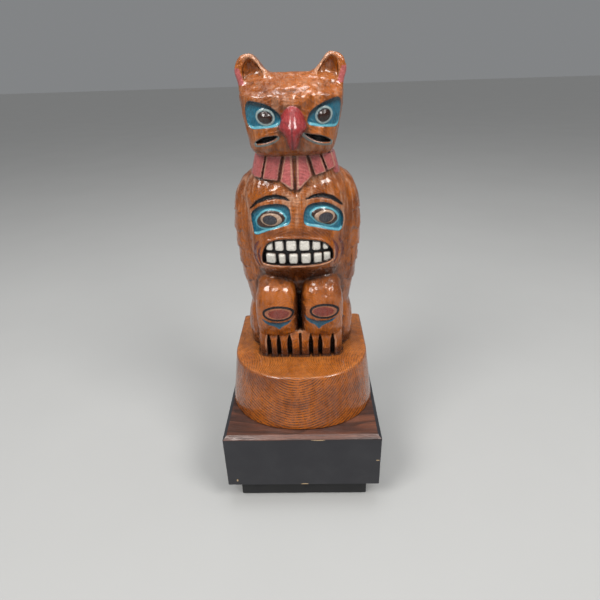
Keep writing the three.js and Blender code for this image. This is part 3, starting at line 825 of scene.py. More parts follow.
def red_marks(x, y, z):
    beak = beak_form(x, y, z)
    ridge = np.maximum(np.abs(x - RIDGE_AT) - RIDGE_WIDE, beak - RIDGE_OVER)
    patch = PATCH_OUT + PATCH_LEAN * (z - PATCH_FROM) - np.abs(x - HEAD_MIDDLE)
    patch = np.maximum(np.maximum(patch, PATCH_LOW - z), z - PATCH_HIGH)
    patch = np.maximum(patch, y - PATCH_BACK)
    plank = ruff(x, y, z)
    drawn = np.minimum.reduce([outline(x, z, shape) for shape in PLANKS])
    wide = 0.3 + 0.35 * step(1 - np.abs(x) / 8)
    return {"red": beak - RED_OVER, "beak_ridge": np.maximum(ridge, z - RIDGE_TOP),
            "pink": np.minimum(plank - PLANK_PAINT, patch),
            "plank_edge": np.maximum(np.abs(drawn + wide) - wide, plank - PLANK_EDGE_OVER),
            "pad": closest([oval(x, z, *pad) for pad in KNEE_OVALS]),
            "knee_band": closest([oval(x, z, *ring) + KNEE_BAND_IN for ring in KNEE_RINGS])}


print("red and pink marks:", len(red_marks(*np.zeros((3, 1)))))

# %% Every painted mark
PAINT_BACK = 1


def paint_marks(x, y, z):
    """Distance inside each painted shape, in shares: above zero is painted."""
    head_z = on_head(x, z)
    marks = {"crescent": closest([outline(x, z, shape) for shape in CRESCENTS])}
    marks.update(eye_marks(x, z, head_z))
    marks.update(mouth_marks(x, z, head_z))
    marks["ink"] = ink_mark(x, z, head_z)
    marks.update(red_marks(x, y, z))
    front = np.where(y < PAINT_BACK, 0.0, 3 * REACH)
    for name in marks:
        behind = 0 if name in ("pink", "red", "beak_ridge") else front
        marks[name] = -np.clip(marks[name] + behind, -REACH, REACH)
    return marks


marks = paint_marks(*figure_points.T)
print("painted marks:", len(marks))

# %% [markdown]
# ## Tool marks
# A knife leaves flat facets a few millimetres across, each tipped a little its own way, and they
# catch the light one by one. Every point takes the tilt of its nearest facet centre. Painted parts
# and the beak were smoothed before painting, so the marks fade out there.

# %% Cut the facets
def lattice(rng, low, high, pitch):
    """Even places, each shaken by up to nearly half the pitch."""
    axes = [np.arange(a, b, p) for a, b, p in zip(low, high, pitch)]
    seeds = np.stack(np.meshgrid(*axes, indexing="ij"), -1).reshape(-1, 3)
    return seeds + (rng.random(seeds.shape) - 0.5) * np.array(pitch) * 0.9


FACET_LOW, FACET_HIGH, FACET_PITCH = (-44, -40, -6), (44, 40, 186), (5, 5, 7.5)
FACET_TILT = 0.046
FACET_SCOOP = 0.14
FACET_EDGE = 1.2
FACET_LIMITS = (-0.1, 0.48)
PAINT_CLEAR, PAINT_FADE = 0.3, 1.2
FOOT_CLEAR, FOOT_FADE = 1, 3
rng = np.random.default_rng(7)
facets = lattice(rng, FACET_LOW, FACET_HIGH, FACET_PITCH)
tilts = rng.normal(0, 1, facets.shape)
squeeze = np.array([1, 1, 0.62])
tree = KDTree(len(facets))
for i, seed in enumerate(facets * squeeze):
    tree.insert(seed, i)
tree.balance()
lean = slope(figure, figure_points)[1]
normals = lean / np.linalg.norm(lean, axis=1)[:, None]
found = [tree.find_n(Vector(p), 2) for p in figure_points * squeeze]
owner = np.array([f[0][1] for f in found])
margin = np.array([f[1][2] - f[0][2] for f in found])
painted = np.max([marks[k] for k in ("teal", "eyeball", "ink", "tooth", "red", "pink", "lid")], 0)
bare = step((-painted - PAINT_CLEAR) / PAINT_FADE)
bare *= step((figure_points[:, 2] - FOOT_CLEAR) / FOOT_FADE)
tip = np.einsum("ij,ij->i", figure_points - facets[owner], tilts[owner]) * FACET_TILT
scoop = FACET_SCOOP * step(margin / FACET_EDGE)
figure_points -= normals * (bare * np.clip(scoop + tip, *FACET_LIMITS))[:, None]
print("facets used:", len(set(owner.tolist())))

# %% [markdown]
# ## The half-round base
# The base is half round in front and square behind, sawn from the same log as the figure, and its
# rim is rubbed round. It is a stack of outlines, with six close ones round the rim and more across
# the top, and a boolean union joins it to the figure, so that the carving is one closed skin.

# %% Outline of the base
FRONT_FROM = 0.002
CORNER = 0.0018
BASE_POWER = 2.25


def base_outline(half, front, rear, steps=120):
    """A half-round front and a straight back with rubbed corners, as pairs of X and Y."""
    turns = np.pi + np.pi * np.arange(steps + 1) / steps
    x = half * np.sign(np.cos(turns)) * np.abs(np.cos(turns)) ** (2 / BASE_POWER)
    y = FRONT_FROM - (FRONT_FROM - front) * np.abs(np.sin(turns)) ** (2 / BASE_POWER)
    points = list(zip(x, y))
    for cx, cy, start in ((half - CORNER, rear - CORNER, 0), (CORNER - half, rear - CORNER, 90)):
        for a in range(0, 91, 18):
            turn = math.radians(start + a)
            points.append((cx + CORNER * math.cos(turn), cy + CORNER * math.sin(turn)))
    return points


print("points round the base:", len(base_outline(0.04, -0.04, 0.04)))


# %% Objects from points
def mesh_object(name, points, faces, smooth_angle=None):
    mesh = bpy.data.meshes.new(name)
    mesh.from_pydata([tuple(p) for p in points], [], [tuple(f) for f in faces])
    mesh.validate()
    mesh.update()
    made = bpy.data.objects.new(name, mesh)
    bpy.context.scene.collection.objects.link(made)
    mesh.polygons.foreach_set("use_smooth", [True] * len(mesh.polygons))
    if smooth_angle:
        mesh.set_sharp_from_angle(angle=math.radians(smooth_angle))
    return made


def stack(name, rings, smooth_angle=35):
    """A closed body through outlines of equal length, from below."""
    count = len(rings[0])
    faces = [list(range(count))[::-1], [(len(rings) - 1) * count + i for i in range(count)]]
    for r in range(len(rings) - 1):
        for i in range(count):
            n = (i + 1) % count
            faces.append((r * count + i, r * count + n, (r + 1) * count + n, (r + 1) * count + i))
    return mesh_object(name, [p for ring in rings for p in ring], faces, smooth_angle)


print("mesh helpers: mesh_object, stack")

# %% Build the base
SIDE_TAPER, FRONT_TAPER, REAR_TAPER = 0.0046, 0.0062, 0.0025
half_low, half_high = carving_high.x, carving_high.x - SIDE_TAPER
front_low, front_high = carving_low.y, carving_low.y + FRONT_TAPER
rear_low, rear_high = carving_high.y, carving_high.y - REAR_TAPER
FOOT_ROUND, RIM = 0.0004, 0.0016
WALL_PITCH, WALL_LEVELS = 0.003, 11
RIM_LEVELS, TOP_PITCH, TOP_RINGS = 6, 0.0012, 23


def base_level(height, inset):
    t = min(height / BASE_HEIGHT, 1)
    half = half_low + (half_high - half_low) * t - inset
    front = front_low + (front_high - front_low) * t + inset
    rear = rear_low + (rear_high - rear_low) * t - inset
    return [(x, y, carving_low.z + height) for x, y in base_outline(half, front, rear)]


levels = [base_level(0, FOOT_ROUND), base_level(FOOT_ROUND, 0)]
levels += [base_level(WALL_PITCH * (i + 1), 0) for i in range(WALL_LEVELS)]
for i in range(RIM_LEVELS):
    turn = math.radians(90 / (RIM_LEVELS - 1) * i)
    levels.append(base_level(BASE_HEIGHT - RIM + RIM * math.sin(turn), RIM * (1 - math.cos(turn))))
levels += [base_level(BASE_HEIGHT, RIM + TOP_PITCH * (i + 1)) for i in range(TOP_RINGS)]
base = stack("half_round_base", levels)
print("base:", len(base.data.vertices), "points")

# %% Join the figure and the base
SHARP_ABOVE = 48
carving = mesh_object("totem_carving", to_metres(figure_points), figure_faces)
union = carving.modifiers.new("one_log", "BOOLEAN")
union.operation = "UNION"
union.solver = "EXACT"
union.object = base
joined = bpy.data.meshes.new_from_object(
    carving.evaluated_get(bpy.context.evaluated_depsgraph_get()))
carving.modifiers.clear()
carving.data = joined
bpy.data.objects.remove(base)
joined.polygons.foreach_set("use_smooth", [True] * len(joined.polygons))
joined.set_sharp_from_angle(angle=math.radians(SHARP_ABOVE))
print("carving:", len(joined.vertices), "points,", len(joined.polygons), "faces")

# %% [markdown]
# ## Paint edges, painted shade and wear, stored on the mesh
# A paint edge painted point by point would be as coarse as the mesh. Instead each point stores its
# distance to the painted outline, and the material draws the edge where that distance crosses zero,
# so it stays crisp between points. Three more values say how hollow, how sheltered by the forms
# over it and how crested each place is. The material darkens hollows with painted shade over pooled
# stain, paints shade under the overhangs, and lightens crests as rubbed wear and painted highlight.

# %% The whole carving and its bulk, as fields
BASE_FRONT = 2


def base_field(x, y, z):
    """Distance to the base, in shares."""
    t = np.clip((z * SHARE + BASE_HEIGHT) / BASE_HEIGHT, 0, 1)
    half = (half_low + (half_high - half_low) * t) / SHARE
    front = (front_low + (front_high - front_low) * t) / SHARE
    rear = (rear_low + (rear_high - rear_low) * t) / SHARE
    forward = np.clip(BASE_FRONT - y, 0, None) / (BASE_FRONT - front)
    ahead = ((np.abs(x) / half) ** BASE_POWER + forward**BASE_POWER) ** (1 / BASE_POWER)
    wall = np.where(y < BASE_FRONT, (ahead - 1) * half, np.maximum(np.abs(x) - half, y - rear))
    return np.maximum(wall, z)


def whole(x, y, z):
    return np.minimum(figure(x, y, z), base_field(x, y, z))


def level_gap(x, y, z, name, centre=0.0, power=2.5):
    """How far a place is from a form, measured level and outward from its middle."""
    table = TABLES[name]
    half, middle, deep = (np.interp(z, table["z"], table[key])
                          for key in ("half", "middle", "deep"))
    ahead, aside = y - middle, x - centre
    out = (np.abs(aside / half) ** power + np.abs(ahead / deep) ** power) ** (1 / power) + 1e-6
    gap = np.hypot(ahead, aside) * (1 - 1 / out)
    return np.maximum(gap, np.maximum(z - table["z"][-1], table["z"][0] - z))


def bulk(x, y, z):
    """The large forms only, for the shade that gathers under overhangs."""
    parts = [level_gap(x, y, z, name) for name in ("back", "belly", "neck")]
    parts.append(level_gap(x, y, z, "head", HEAD_MIDDLE, HEAD_POWER))
    parts.append(level_gap(x, y, z, "feet", 0, FEET_POWER))
    parts += [level_gap(x, y, z, "knee", side * KNEE_MIDDLE, KNEE_POWER) for side in (-1, 1)]
    return np.minimum(np.minimum.reduce(parts), base_field(x, y, z))


print("a place 10 shares over the base is", round(float(bulk(*np.array([[0], [-36.0], [10]]))[0]), 1),
      "shares from the bulk")

# %% Places and directions of the points
coords = np.empty(len(joined.vertices) * 3, np.float32)
joined.vertices.foreach_get("co", coords)
places = to_shares(coords.reshape(-1, 3).astype(float))
joined.update()
outward = np.empty(len(joined.vertices) * 3, np.float32)
joined.vertex_normals.foreach_get("vector", outward)
outward = outward.reshape(-1, 3).astype(float)
print("heights:", places[:, 2].min().round(1), "to", places[:, 2].max().round(1), "shares")

# %% How hollow, sheltered and crested each place is
HOLLOW_REACHES = (1.4, 3.6)
EARS_FROM, EARS_FADE, EAR_SHADE_CUT = 166, 3, 0.75
SHELTER_REACH = 9.0
FACES_UP, UP_FADE = 0.55, 0.6
CREST_REACH = 1.6
# How closed in each place is. The material darkens hollows with it as painted shade, over stain
# pooled there.
hollow = np.zeros(len(places))
for reach in HOLLOW_REACHES:
    seen = whole(*(places + outward * reach).T) / reach
    hollow += (1 - np.clip(seen, 0, 1)) / len(HOLLOW_REACHES)
# The ears keep less of this painted shade.
hollow *= 1 - EAR_SHADE_CUT * step((places[:, 2] - EARS_FROM) / EARS_FADE)
# How far the large forms hang over a place, less on faces turned up. The material paints shade there.
sheltered = 1 - np.clip(bulk(*(places + outward * SHELTER_REACH).T) / SHELTER_REACH, 0, 1)
sheltered *= np.clip((FACES_UP - outward[:, 2]) / UP_FADE, 0, 1)
# How sharply a place stands out. The material lightens crests as rubbed wear and as a painted
# highlight along rims.
crest = 1 - np.clip(-whole(*(places - outward * CREST_REACH).T) / CREST_REACH, 0, 1)
print("hollow, sheltered, crest:", [round(float(v.mean()), 2) for v in (hollow, sheltered, crest)])

# %% Store the distances
ASIDE_FROM, ASIDE_FADE = -0.35, 0.3


def store(mesh, name, values):
    attribute = mesh.attributes.new(name, "FLOAT", "POINT")
    attribute.data.foreach_set("value", values.astype(np.float32))


faces_aside = REACH * step((outward[:, 1] - ASIDE_FROM) / ASIDE_FADE)
for name, values in paint_marks(*places.T).items():
    if name in ("lip", "crease", "knee_band", "pad", "crescent"):
        values = values - faces_aside
    store(joined, name, values)
store(joined, "hollow", hollow)
store(joined, "sheltered", sheltered)
store(joined, "crest", crest)
print("stored values:", len(joined.attributes))

# %% [markdown]
# ## Node helpers
# Materials are built as small networks of nodes. These helpers keep each line short: one makes a
# node and feeds its inputs, whether from a number or from another node's output.

# %% Make and feed a node
def feed(tree, socket, value):
    if isinstance(value, bpy.types.NodeSocket):
        tree.links.new(value, socket)
    else:
        socket.default_value = value


def node(tree, kind, inputs=None, **settings):
    made = tree.nodes.new("ShaderNode" + kind)
    for name, value in settings.items():
        setattr(made, name, value)
    for name, value in (inputs or {}).items():
        feed(tree, made.inputs[name], value)
    return made


print("node helpers: feed, node")


# %% Sums, blends and spans
def maths(tree, operation, *values):
    made = node(tree, "Math", operation=operation)
    for socket, value in zip(made.inputs, values):
        feed(tree, socket, value)
    return made.outputs[0]


def times(tree, first, second):
    return maths(tree, "MULTIPLY", first, second)


def attribute(tree, name):
    return node(tree, "Attribute", attribute_name=name).outputs["Fac"]


def blend(tree, amount, below, above):
    made = node(tree, "Mix", data_type="RGBA", blend_type="MIX")
    feed(tree, made.inputs[0], amount)
    feed(tree, made.inputs[6], below)
    feed(tree, made.inputs[7], above)
    return made.outputs[2]


def span(tree, value, low, high, to_low=0.0, to_high=1.0):
    """A value's stretch from low to high, eased and mapped to another stretch."""
    made = node(tree, "MapRange", {"From Min": low, "From Max": high, "To Min": to_low,
                                   "To Max": to_high}, interpolation_type="SMOOTHSTEP")
    feed(tree, made.inputs["Value"], value)
    return made.outputs["Result"]


print("node helpers: maths, times, attribute, blend, span")


# %% Noise and stretched coordinates
def noise(tree, coordinates, scale, detail=3.0, roughness=0.55):
    made = node(tree, "TexNoise", {"Vector": coordinates, "Scale": scale, "Detail": detail,
                                   "Roughness": roughness})
    return made.outputs["Fac"]


def stretched(tree, coordinates, scale, turn=(0, 0, 0), place=(0, 0, 0)):
    return node(tree, "Mapping", {"Vector": coordinates, "Scale": scale, "Rotation": turn,
                                  "Location": place}).outputs[0]


print("node helpers: noise, stretched")


# %% Node groups
def new_group(name, inputs, outputs):
    tree = bpy.data.node_groups.new(name, "ShaderNodeTree")
    for label, kind, value in inputs:
        socket = tree.interface.new_socket(label, in_out="INPUT", socket_type=kind)
        if value is not None:
            socket.default_value = value
    for label, kind in outputs:
        tree.interface.new_socket(label, in_out="OUTPUT", socket_type=kind)
    return tree, tree.nodes.new("NodeGroupInput"), tree.nodes.new("NodeGroupOutput")


def place_group(tree, group, inputs):
    made = tree.nodes.new("ShaderNodeGroup")
    made.node_tree = group
    for name, value in inputs.items():
        feed(tree, made.inputs[name], value)
    return made


print("node helpers: new_group, place_group")

# %% [markdown]
# ## Grain
# The carving is cut from one log that leans a little, so its growth rings cross the base's wall in
# sagging lines and run on up the figure. The walnut top has straight grain. Both come from the same
# group: rings round an axis, bent by slow noise, and fine pores stretched along the axis.

# %% The grain group
FLOAT, VECTOR = "NodeSocketFloat", "NodeSocketVector"
MM_PER_METRE = 1000.0
WAVER_REACH = 9.0
grain_group, grain_in, grain_out = new_group("Grain", [
    ("Place", VECTOR, None), ("Rings per mm", FLOAT, 0.8), ("Waver", FLOAT, 0.5),
    ("Pore size", FLOAT, 1400.0)], [("Rings", FLOAT), ("Pores", FLOAT), ("Bands", FLOAT)])
slow = noise(grain_group, stretched(grain_group, grain_in.outputs["Place"], (1, 1, 0.25)), 38.0, 2.0)
axes = node(grain_group, "SeparateXYZ", {"Vector": grain_in.outputs["Place"]})
square_x = times(grain_group, axes.outputs[0], axes.outputs[0])
square_y = times(grain_group, axes.outputs[1], axes.outputs[1])
radius = maths(grain_group, "SQRT", maths(grain_group, "ADD", square_x, square_y))
rings = times(grain_group, times(grain_group, radius, MM_PER_METRE),
              grain_in.outputs["Rings per mm"])
waver = times(grain_group, times(grain_group, slow, WAVER_REACH), grain_in.outputs["Waver"])
saw = maths(grain_group, "FRACT", maths(grain_group, "ADD", rings, waver))
late = times(grain_group, span(grain_group, saw, 0.25, 0.86), span(grain_group, saw, 1.0, 0.9))
pores = noise(grain_group, stretched(grain_group, grain_in.outputs["Place"], (1, 1, 0.07)),
              grain_in.outputs["Pore size"], 2.0, 0.7)
bands = noise(grain_group, stretched(grain_group, grain_in.outputs["Place"], (1, 1, 0.1)), 160.0, 3.0)
feed(grain_group, grain_out.inputs["Rings"], late)
feed(grain_group, grain_out.inputs["Pores"], span(grain_group, pores, 0.38, 0.66))
feed(grain_group, grain_out.inputs["Bands"], span(grain_group, bands, 0.3, 0.7))
print("group:", grain_group.name, "with", len(grain_group.nodes), "nodes")

# %% [markdown]
# ## Brushed paint edge
# Every painted shape has the same kind of edge: nearly crisp, with the small wobble of a brush. The
# group takes the stored distance and gives back how much paint covers the place.

# %% The brush group
brush_group, brush_in, brush_out = new_group("Brush_edge", [
    ("Distance", FLOAT, 0.0), ("Wobble", FLOAT, 0.3), ("Softness", FLOAT, 0.25)],
    [("Cover", FLOAT)])
where = node(brush_group, "TexCoord").outputs["Object"]
shake = maths(brush_group, "SUBTRACT", noise(brush_group, where, 700.0, 2.0), 0.5)
moved = maths(brush_group, "ADD", brush_in.outputs["Distance"],
              times(brush_group, shake, brush_in.outputs["Wobble"]))
cover = maths(brush_group, "DIVIDE", moved, brush_in.outputs["Softness"])
feed(brush_group, brush_out.inputs["Cover"], span(brush_group, cover, -1.0, 1.0))
print("group:", brush_group.name, "with", len(brush_group.nodes), "nodes")

# %% [markdown]
# ## Stained and varnished wood with paint over it
# The wood is stained orange-brown, with tan where the stain rubbed off. It is darker in hollows, as
# pooled stain and painted shade; painted shade also darkens it under overhangs and round the mouth,
# and a painted sheen and highlight lighten it in tan. The paints lie over it in the order they were
# brushed on: pinks and reds, teal, the pale lids and rims, the eyes, black in every cut, and white
# teeth last. Gloss varnish covers all of it.

# %% Colours of the stain and paints
STAIN = (0.42, 0.105, 0.004, 1)
STAIN_DEEP = (0.17, 0.035, 0.002, 1)
# Near black, for grain, pores and cut lines, and for painted shade in the hollows.
DARK_STAIN_AND_SHADE = (0.035, 0.012, 0.006, 1)
# Dark brown for streaks in the grain, and for painted shade under overhangs and round the mouth.
BROWN_STREAK_AND_SHADE = (0.062, 0.014, 0.003, 1)
# Tan for rubbed wear, for a painted highlight on crests, and for painted sheen on the figure.
TAN_WEAR_AND_SHEEN = (0.60, 0.34, 0.21, 1)
# Orange for the base's top, lighter there as wear and as painted light.
WORN_AND_LIT_TOP = (0.64, 0.21, 0.04, 1)
WORN_DEPTH, WORN_EDGE, WORN_OVER = 0.0012, 0.0002, 0.001
PAINTS = {
    "pink": (0.44, 0.105, 0.10, 1), "red": (0.30, 0.026, 0.028, 1), "pad": (0.19, 0.030, 0.018, 1),
    "teal": (0.010, 0.135, 0.21, 1), "crescent": (0.008, 0.070, 0.120, 1),
    "lid": (0.12, 0.39, 0.47, 1), "almond": (0.40, 0.27, 0.19, 1),
    "pupil": (0.030, 0.030, 0.038, 1), "rim": (0.30, 0.38, 0.37, 1),
    "slit_lip": (0.16, 0.19, 0.18, 1), "eyeball": (0.026, 0.008, 0.004, 1),
    "ink": (0.006, 0.006, 0.008, 1), "tooth": (0.66, 0.63, 0.57, 1),
    "crease": (0.12, 0.012, 0.007, 1), "lip": (0.44, 0.25, 0.16, 1),
    "knee_band": (0.31, 0.105, 0.05, 1)}
# Dark teal for painted shade in the sockets.
TEAL_SHADE = (0.003, 0.018, 0.030, 1)
BEAK_RIDGE = (0.07, 0.006, 0.008, 1)


def new_material(name):
    material = bpy.data.materials.new(name)
    material.use_nodes = True
    tree = material.node_tree
    tree.nodes.clear()
    shader = tree.nodes.new("ShaderNodeBsdfPrincipled")
    out = tree.nodes.new("ShaderNodeOutputMaterial")
    tree.links.new(shader.outputs[0], out.inputs[0])
    return material, tree, shader


def worn_and_lit_top_mask(tree, height, spot):
    """The top of the base, lighter in patches: worn stain and painted light on the top face."""
    below = span(tree, height, BASE_TOP - WORN_DEPTH, BASE_TOP - WORN_EDGE, 0.0, 0.7)
    above = span(tree, height, BASE_TOP + WORN_OVER, BASE_TOP + WORN_EDGE)
    patches = span(tree, noise(tree, spot, 75.0, 4.0), 0.3, 0.7, 0.3, 1.0)
    return times(tree, times(tree, below, above), patches)


print("paints:", len(PAINTS))

# %% Grain and stain of the carving, with painted sheen and a lit top
RINGS_LEAN = math.radians(-28)
RINGS_MIDDLE = (0.002, -0.03, 0)
RINGS_RUN_ON = BASE_TOP + 0.02
LOBES_FROM, LOBES_FULL, LOBES_END, LOBES_PAST = (
    BASE_TOP + rise for rise in (0.085, 0.1, 0.118, 0.13))
carved_wood, tree, shader = new_material("carved_wood_painted")
spot = node(tree, "TexCoord").outputs["Object"]
log = stretched(tree, spot, (1, 1, 1), (RINGS_LEAN, 0, 0), RINGS_MIDDLE)
grain = place_group(tree, grain_group, {"Place": log, "Rings per mm": 0.92, "Waver": 0.24,
                                        "Pore size": 1700.0})
height = node(tree, "SeparateXYZ", {"Vector": spot}).outputs[2]
on_base = span(tree, height, RINGS_RUN_ON, BASE_TOP, 0.25, 0.95)
on_figure = span(tree, height, BASE_TOP, RINGS_RUN_ON)
blotch = span(tree, noise(tree, spot, 48.0, 3.0), 0.25, 0.62, 0.15, 1.0)
wood = blend(tree, blotch, STAIN_DEEP, STAIN)
streaks = noise(tree, stretched(tree, spot, (1, 1, 0.09)), 330.0, 4.0, 0.6)
# Painted sheen: pale tan streaks, full over the upper body, half as strong above it and faint below.
sheen_band = times(tree, span(tree, height, LOBES_FROM, LOBES_FULL, 0.15, 1.0),
               span(tree, height, LOBES_END, LOBES_PAST, 1.0, 0.5))
sheen_streaks = times(tree, span(tree, streaks, 0.47, 0.66, 0.0, 0.6), on_figure)
# The base's top lighter in patches: worn stain and painted light on the top face.
wood = blend(tree, worn_and_lit_top_mask(tree, height, spot), wood, WORN_AND_LIT_TOP)
wood = blend(tree, times(tree, sheen_streaks, sheen_band), wood, TAN_WEAR_AND_SHEEN)
deep_streak = times(tree, span(tree, streaks, 0.47, 0.31, 0.0, 0.5), on_figure)
wood = blend(tree, deep_streak, wood, BROWN_STREAK_AND_SHADE)
broken = span(tree, noise(tree, spot, 330.0, 2.0), 0.36, 0.58, 0.35, 1.0)
ring_lines = times(tree, times(tree, grain.outputs["Rings"], broken), on_base)
wood = blend(tree, ring_lines, wood, DARK_STAIN_AND_SHADE)
wood = blend(tree, times(tree, grain.outputs["Pores"], 0.42), wood, DARK_STAIN_AND_SHADE)
print("nodes for the grain and stain:", len(tree.nodes))

# %% Rubbed crests with a painted highlight, painted shade with pooled stain, and the varnish's wear
hollow_here = attribute(tree, "hollow")
# Crests lighter: rubbed wear and a painted highlight, as along the base's rim.
crest_wear_and_highlight = times(tree, span(tree, attribute(tree, "crest"), 0.25, 0.75), 0.55)
wood = blend(tree, crest_wear_and_highlight, wood, TAN_WEAR_AND_SHEEN)
# Painted shade: under overhangs, on the chin and in a band above the upper teeth.
for name, low, high, most in (("sheltered", 0.08, 0.55, 0.92), ("chin_shade", -1.2, 1.6, 0.85),
                              ("upper_lip_shade", -2.2, 2.2, 0.6)):
    wood = blend(tree, span(tree, attribute(tree, name), low, high, 0.0, most), wood, BROWN_STREAK_AND_SHADE)
# Painted shade in the hollows, over stain pooled there.
wood = blend(tree, span(tree, hollow_here, 0.18, 0.68, 0.0, 0.93), wood, DARK_STAIN_AND_SHADE)
colour = wood
gloss = span(tree, grain.outputs["Pores"], 0.0, 1.0, 0.24, 0.42)
varnish = span(tree, streaks, 0.36, 0.56, 0.3, 0.85)
print("nodes with the wear:", len(tree.nodes))


# %% Brushed shapes and uneven coats
def brushed(name, wobble=0.35, softness=0.25, shift=0.0):
    """How much of a painted shape covers a place."""
    distance = attribute(tree, name)
    if shift:
        distance = maths(tree, "ADD", distance, shift)
    return place_group(tree, brush_group, {"Distance": distance, "Wobble": wobble,
                                           "Softness": softness}).outputs["Cover"]


def shaded(name, amount=0.5, size=420.0):
    """A paint with the uneven tone of a brush coat."""
    darker = tuple(c * 0.45 for c in PAINTS[name][:3]) + (1,)
    tone = times(tree, span(tree, noise(tree, spot, size, 3.0), 0.35, 0.7), amount)
    return blend(tree, tone, PAINTS[name], darker)


def coat(under, name, wobble=0.35, uneven=0.5, shift=0.0):
    """A brushed coat of a paint over what is under it."""
    return blend(tree, brushed(name, wobble, shift=shift), under, shaded(name, uneven))


print("the lightest coat:", max(PAINTS, key=lambda name: sum(PAINTS[name])))

# %% Reds and pinks
for name, wobble, uneven in (("knee_band", 0.35, 0.5), ("crease", 0.35, 0.5), ("pink", 0.2, 0.5)):
    colour = coat(colour, name, wobble, uneven)
colour = blend(tree, times(tree, brushed("plank_edge"), 0.75), colour, PAINTS["lip"])
colour = coat(colour, "red", 0.2, 0.7)
colour = coat(colour, "pad", 0.3)
colour = blend(tree, times(tree, brushed("beak_ridge"), 0.8), colour, BEAK_RIDGE)
print("nodes with the reds:", len(tree.nodes))

# %% Teal sockets, with painted light and shade
# Painted light: the sockets turn paler along their lower edge, in the lid colour.
lit_low_edge = times(tree, span(tree, attribute(tree, "teal_lit_low"), 0.3, -0.5), 0.75)
teal = blend(tree, lit_low_edge, shaded("teal"), PAINTS["lid"])
# Painted shade: the sockets darken towards their top under the brows, and at their edges along the
# walls.
teal = blend(tree, span(tree, attribute(tree, "teal_shade_top"), 0.9, -1.4, 0.0, 0.9), teal, TEAL_SHADE)
teal = blend(tree, span(tree, attribute(tree, "teal"), 0.5, 0.0), teal, TEAL_SHADE)
colour = blend(tree, brushed("teal"), colour, teal)
colour = coat(colour, "crescent")
print("nodes with the teal:", len(tree.nodes))

# %% Eyes
LID_OUT, LID_LINE_OUT, PUPIL_LINE_OUT = 1.1, 0.15, 0.35
EYEBALL_GLOSS = 0.4
colour = coat(colour, "lid", 0.2, 0.35, LID_OUT)
colour = blend(tree, brushed("lid", 0.2, shift=LID_LINE_OUT), colour, DARK_STAIN_AND_SHADE)
colour = coat(colour, "almond", 0.2, 0.4)
colour = blend(tree, brushed("pupil", 0.15, 0.2, PUPIL_LINE_OUT), colour, DARK_STAIN_AND_SHADE)
colour = blend(tree, brushed("pupil", 0.15), colour, PAINTS["pupil"])
eyeballs = brushed("eyeball", 0.15)
colour = blend(tree, eyeballs, colour, shaded("eyeball"))
gloss = times(tree, gloss, span(tree, eyeballs, 0.0, 1.0, 1.0, EYEBALL_GLOSS))
colour = coat(colour, "rim", 0.15, 0.3)
colour = blend(tree, brushed("eye_line", 0.15), colour, DARK_STAIN_AND_SHADE)
print("nodes with the eyes:", len(tree.nodes))

# %% Lips, black lines, teeth, and grime with painted shade
INK_VARNISH = 0.2
TOOTH_IN = -0.1
colour = coat(colour, "lip", 0.3, 0.4)
colour = coat(colour, "slit_lip", 0.3, 0.4)
inked = brushed("ink", 0.2)
colour = blend(tree, inked, colour, PAINTS["ink"])
varnish = times(tree, varnish, span(tree, inked, 0.0, 1.0, 1.0, INK_VARNISH))
toothed = brushed("tooth", 0.3, shift=TOOTH_IN)
colour = blend(tree, toothed, colour, shaded("tooth", 0.45, 1500.0))
# Darker again in the deepest hollows: painted shade, with grime.
grime_and_shade = times(tree, span(tree, hollow_here, 0.45, 1.0), 0.65)
colour = blend(tree, grime_and_shade, colour, DARK_STAIN_AND_SHADE)
print("nodes with all the paint:", len(tree.nodes))

# %% Colour, gloss and relief reach the shader
feed(tree, shader.inputs["Base Color"], colour)
feed(tree, shader.inputs["Roughness"], gloss)
feed(tree, shader.inputs["Coat Weight"], varnish)
shader.inputs["Specular IOR Level"].default_value = 0.3
shader.inputs["Coat Roughness"].default_value = 0.1
ripple = maths(tree, "ADD", times(tree, grain.outputs["Rings"], 0.5),
               times(tree, grain.outputs["Pores"], 0.6))
chatter = noise(tree, stretched(tree, spot, (1, 1, 0.4)), 380.0, 3.0)
rough_grain = maths(tree, "MULTIPLY_ADD", chatter, 1.6, ripple)
bump = node(tree, "Bump", {"Height": rough_grain, "Distance": 0.00035, "Strength": 0.7})
feed(tree, shader.inputs["Normal"], bump.outputs[0])
joined.materials.clear()
joined.materials.append(carved_wood)
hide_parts("carving")
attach(carving, "root")
print("material nodes:", len(tree.nodes))

# %% [markdown]
# ## The block
# The block is a slab of dark wood. Its top and the bevels before and behind it show walnut grain,
# and its sides were sprayed satin black. Corners are rubbed round, and a few chips show pale wood.
# It is a stack of rounded squares, so the edges really are round and catch a thin line of light.

# %% Rounded squares
BEVEL_EASE = 0.0002
EASE_AT = 0.12
SLAB_SHARP = 18


def rounded_square(half_x, half_y, corner, height, steps=4):
    points = []
    for quarter, (sx, sy) in enumerate(((1, 1), (-1, 1), (-1, -1), (1, -1))):
        for i in range(steps + 1):
            turn = math.radians(90 * quarter + 90 * i / steps)
            points.append((sx * (half_x - corner) + corner * math.cos(turn),
                           sy * (half_y - corner) + corner * math.sin(turn), height))
    return points


def slab(name, low, high, bevel, soft):
    half_x, half_y = high.x, high.y
    rings = [rounded_square(half_x - soft, half_y - soft, soft, low.z),
             rounded_square(half_x, half_y, soft, low.z + soft)]
    top = high.z
    if bevel:
        for t, ease in ((0, 0), (EASE_AT, BEVEL_EASE), (1 - EASE_AT, BEVEL_EASE), (1, 0)):
            rings.append(rounded_square(half_x - bevel * t + ease, half_y - bevel * t + ease, soft,
                                        top - bevel * (1 - t)))
    else:
        rings.append(rounded_square(half_x, half_y, soft, top - soft))
        rings.append(rounded_square(half_x - soft, half_y - soft, soft, top))
    return stack(name, rings, SLAB_SHARP)


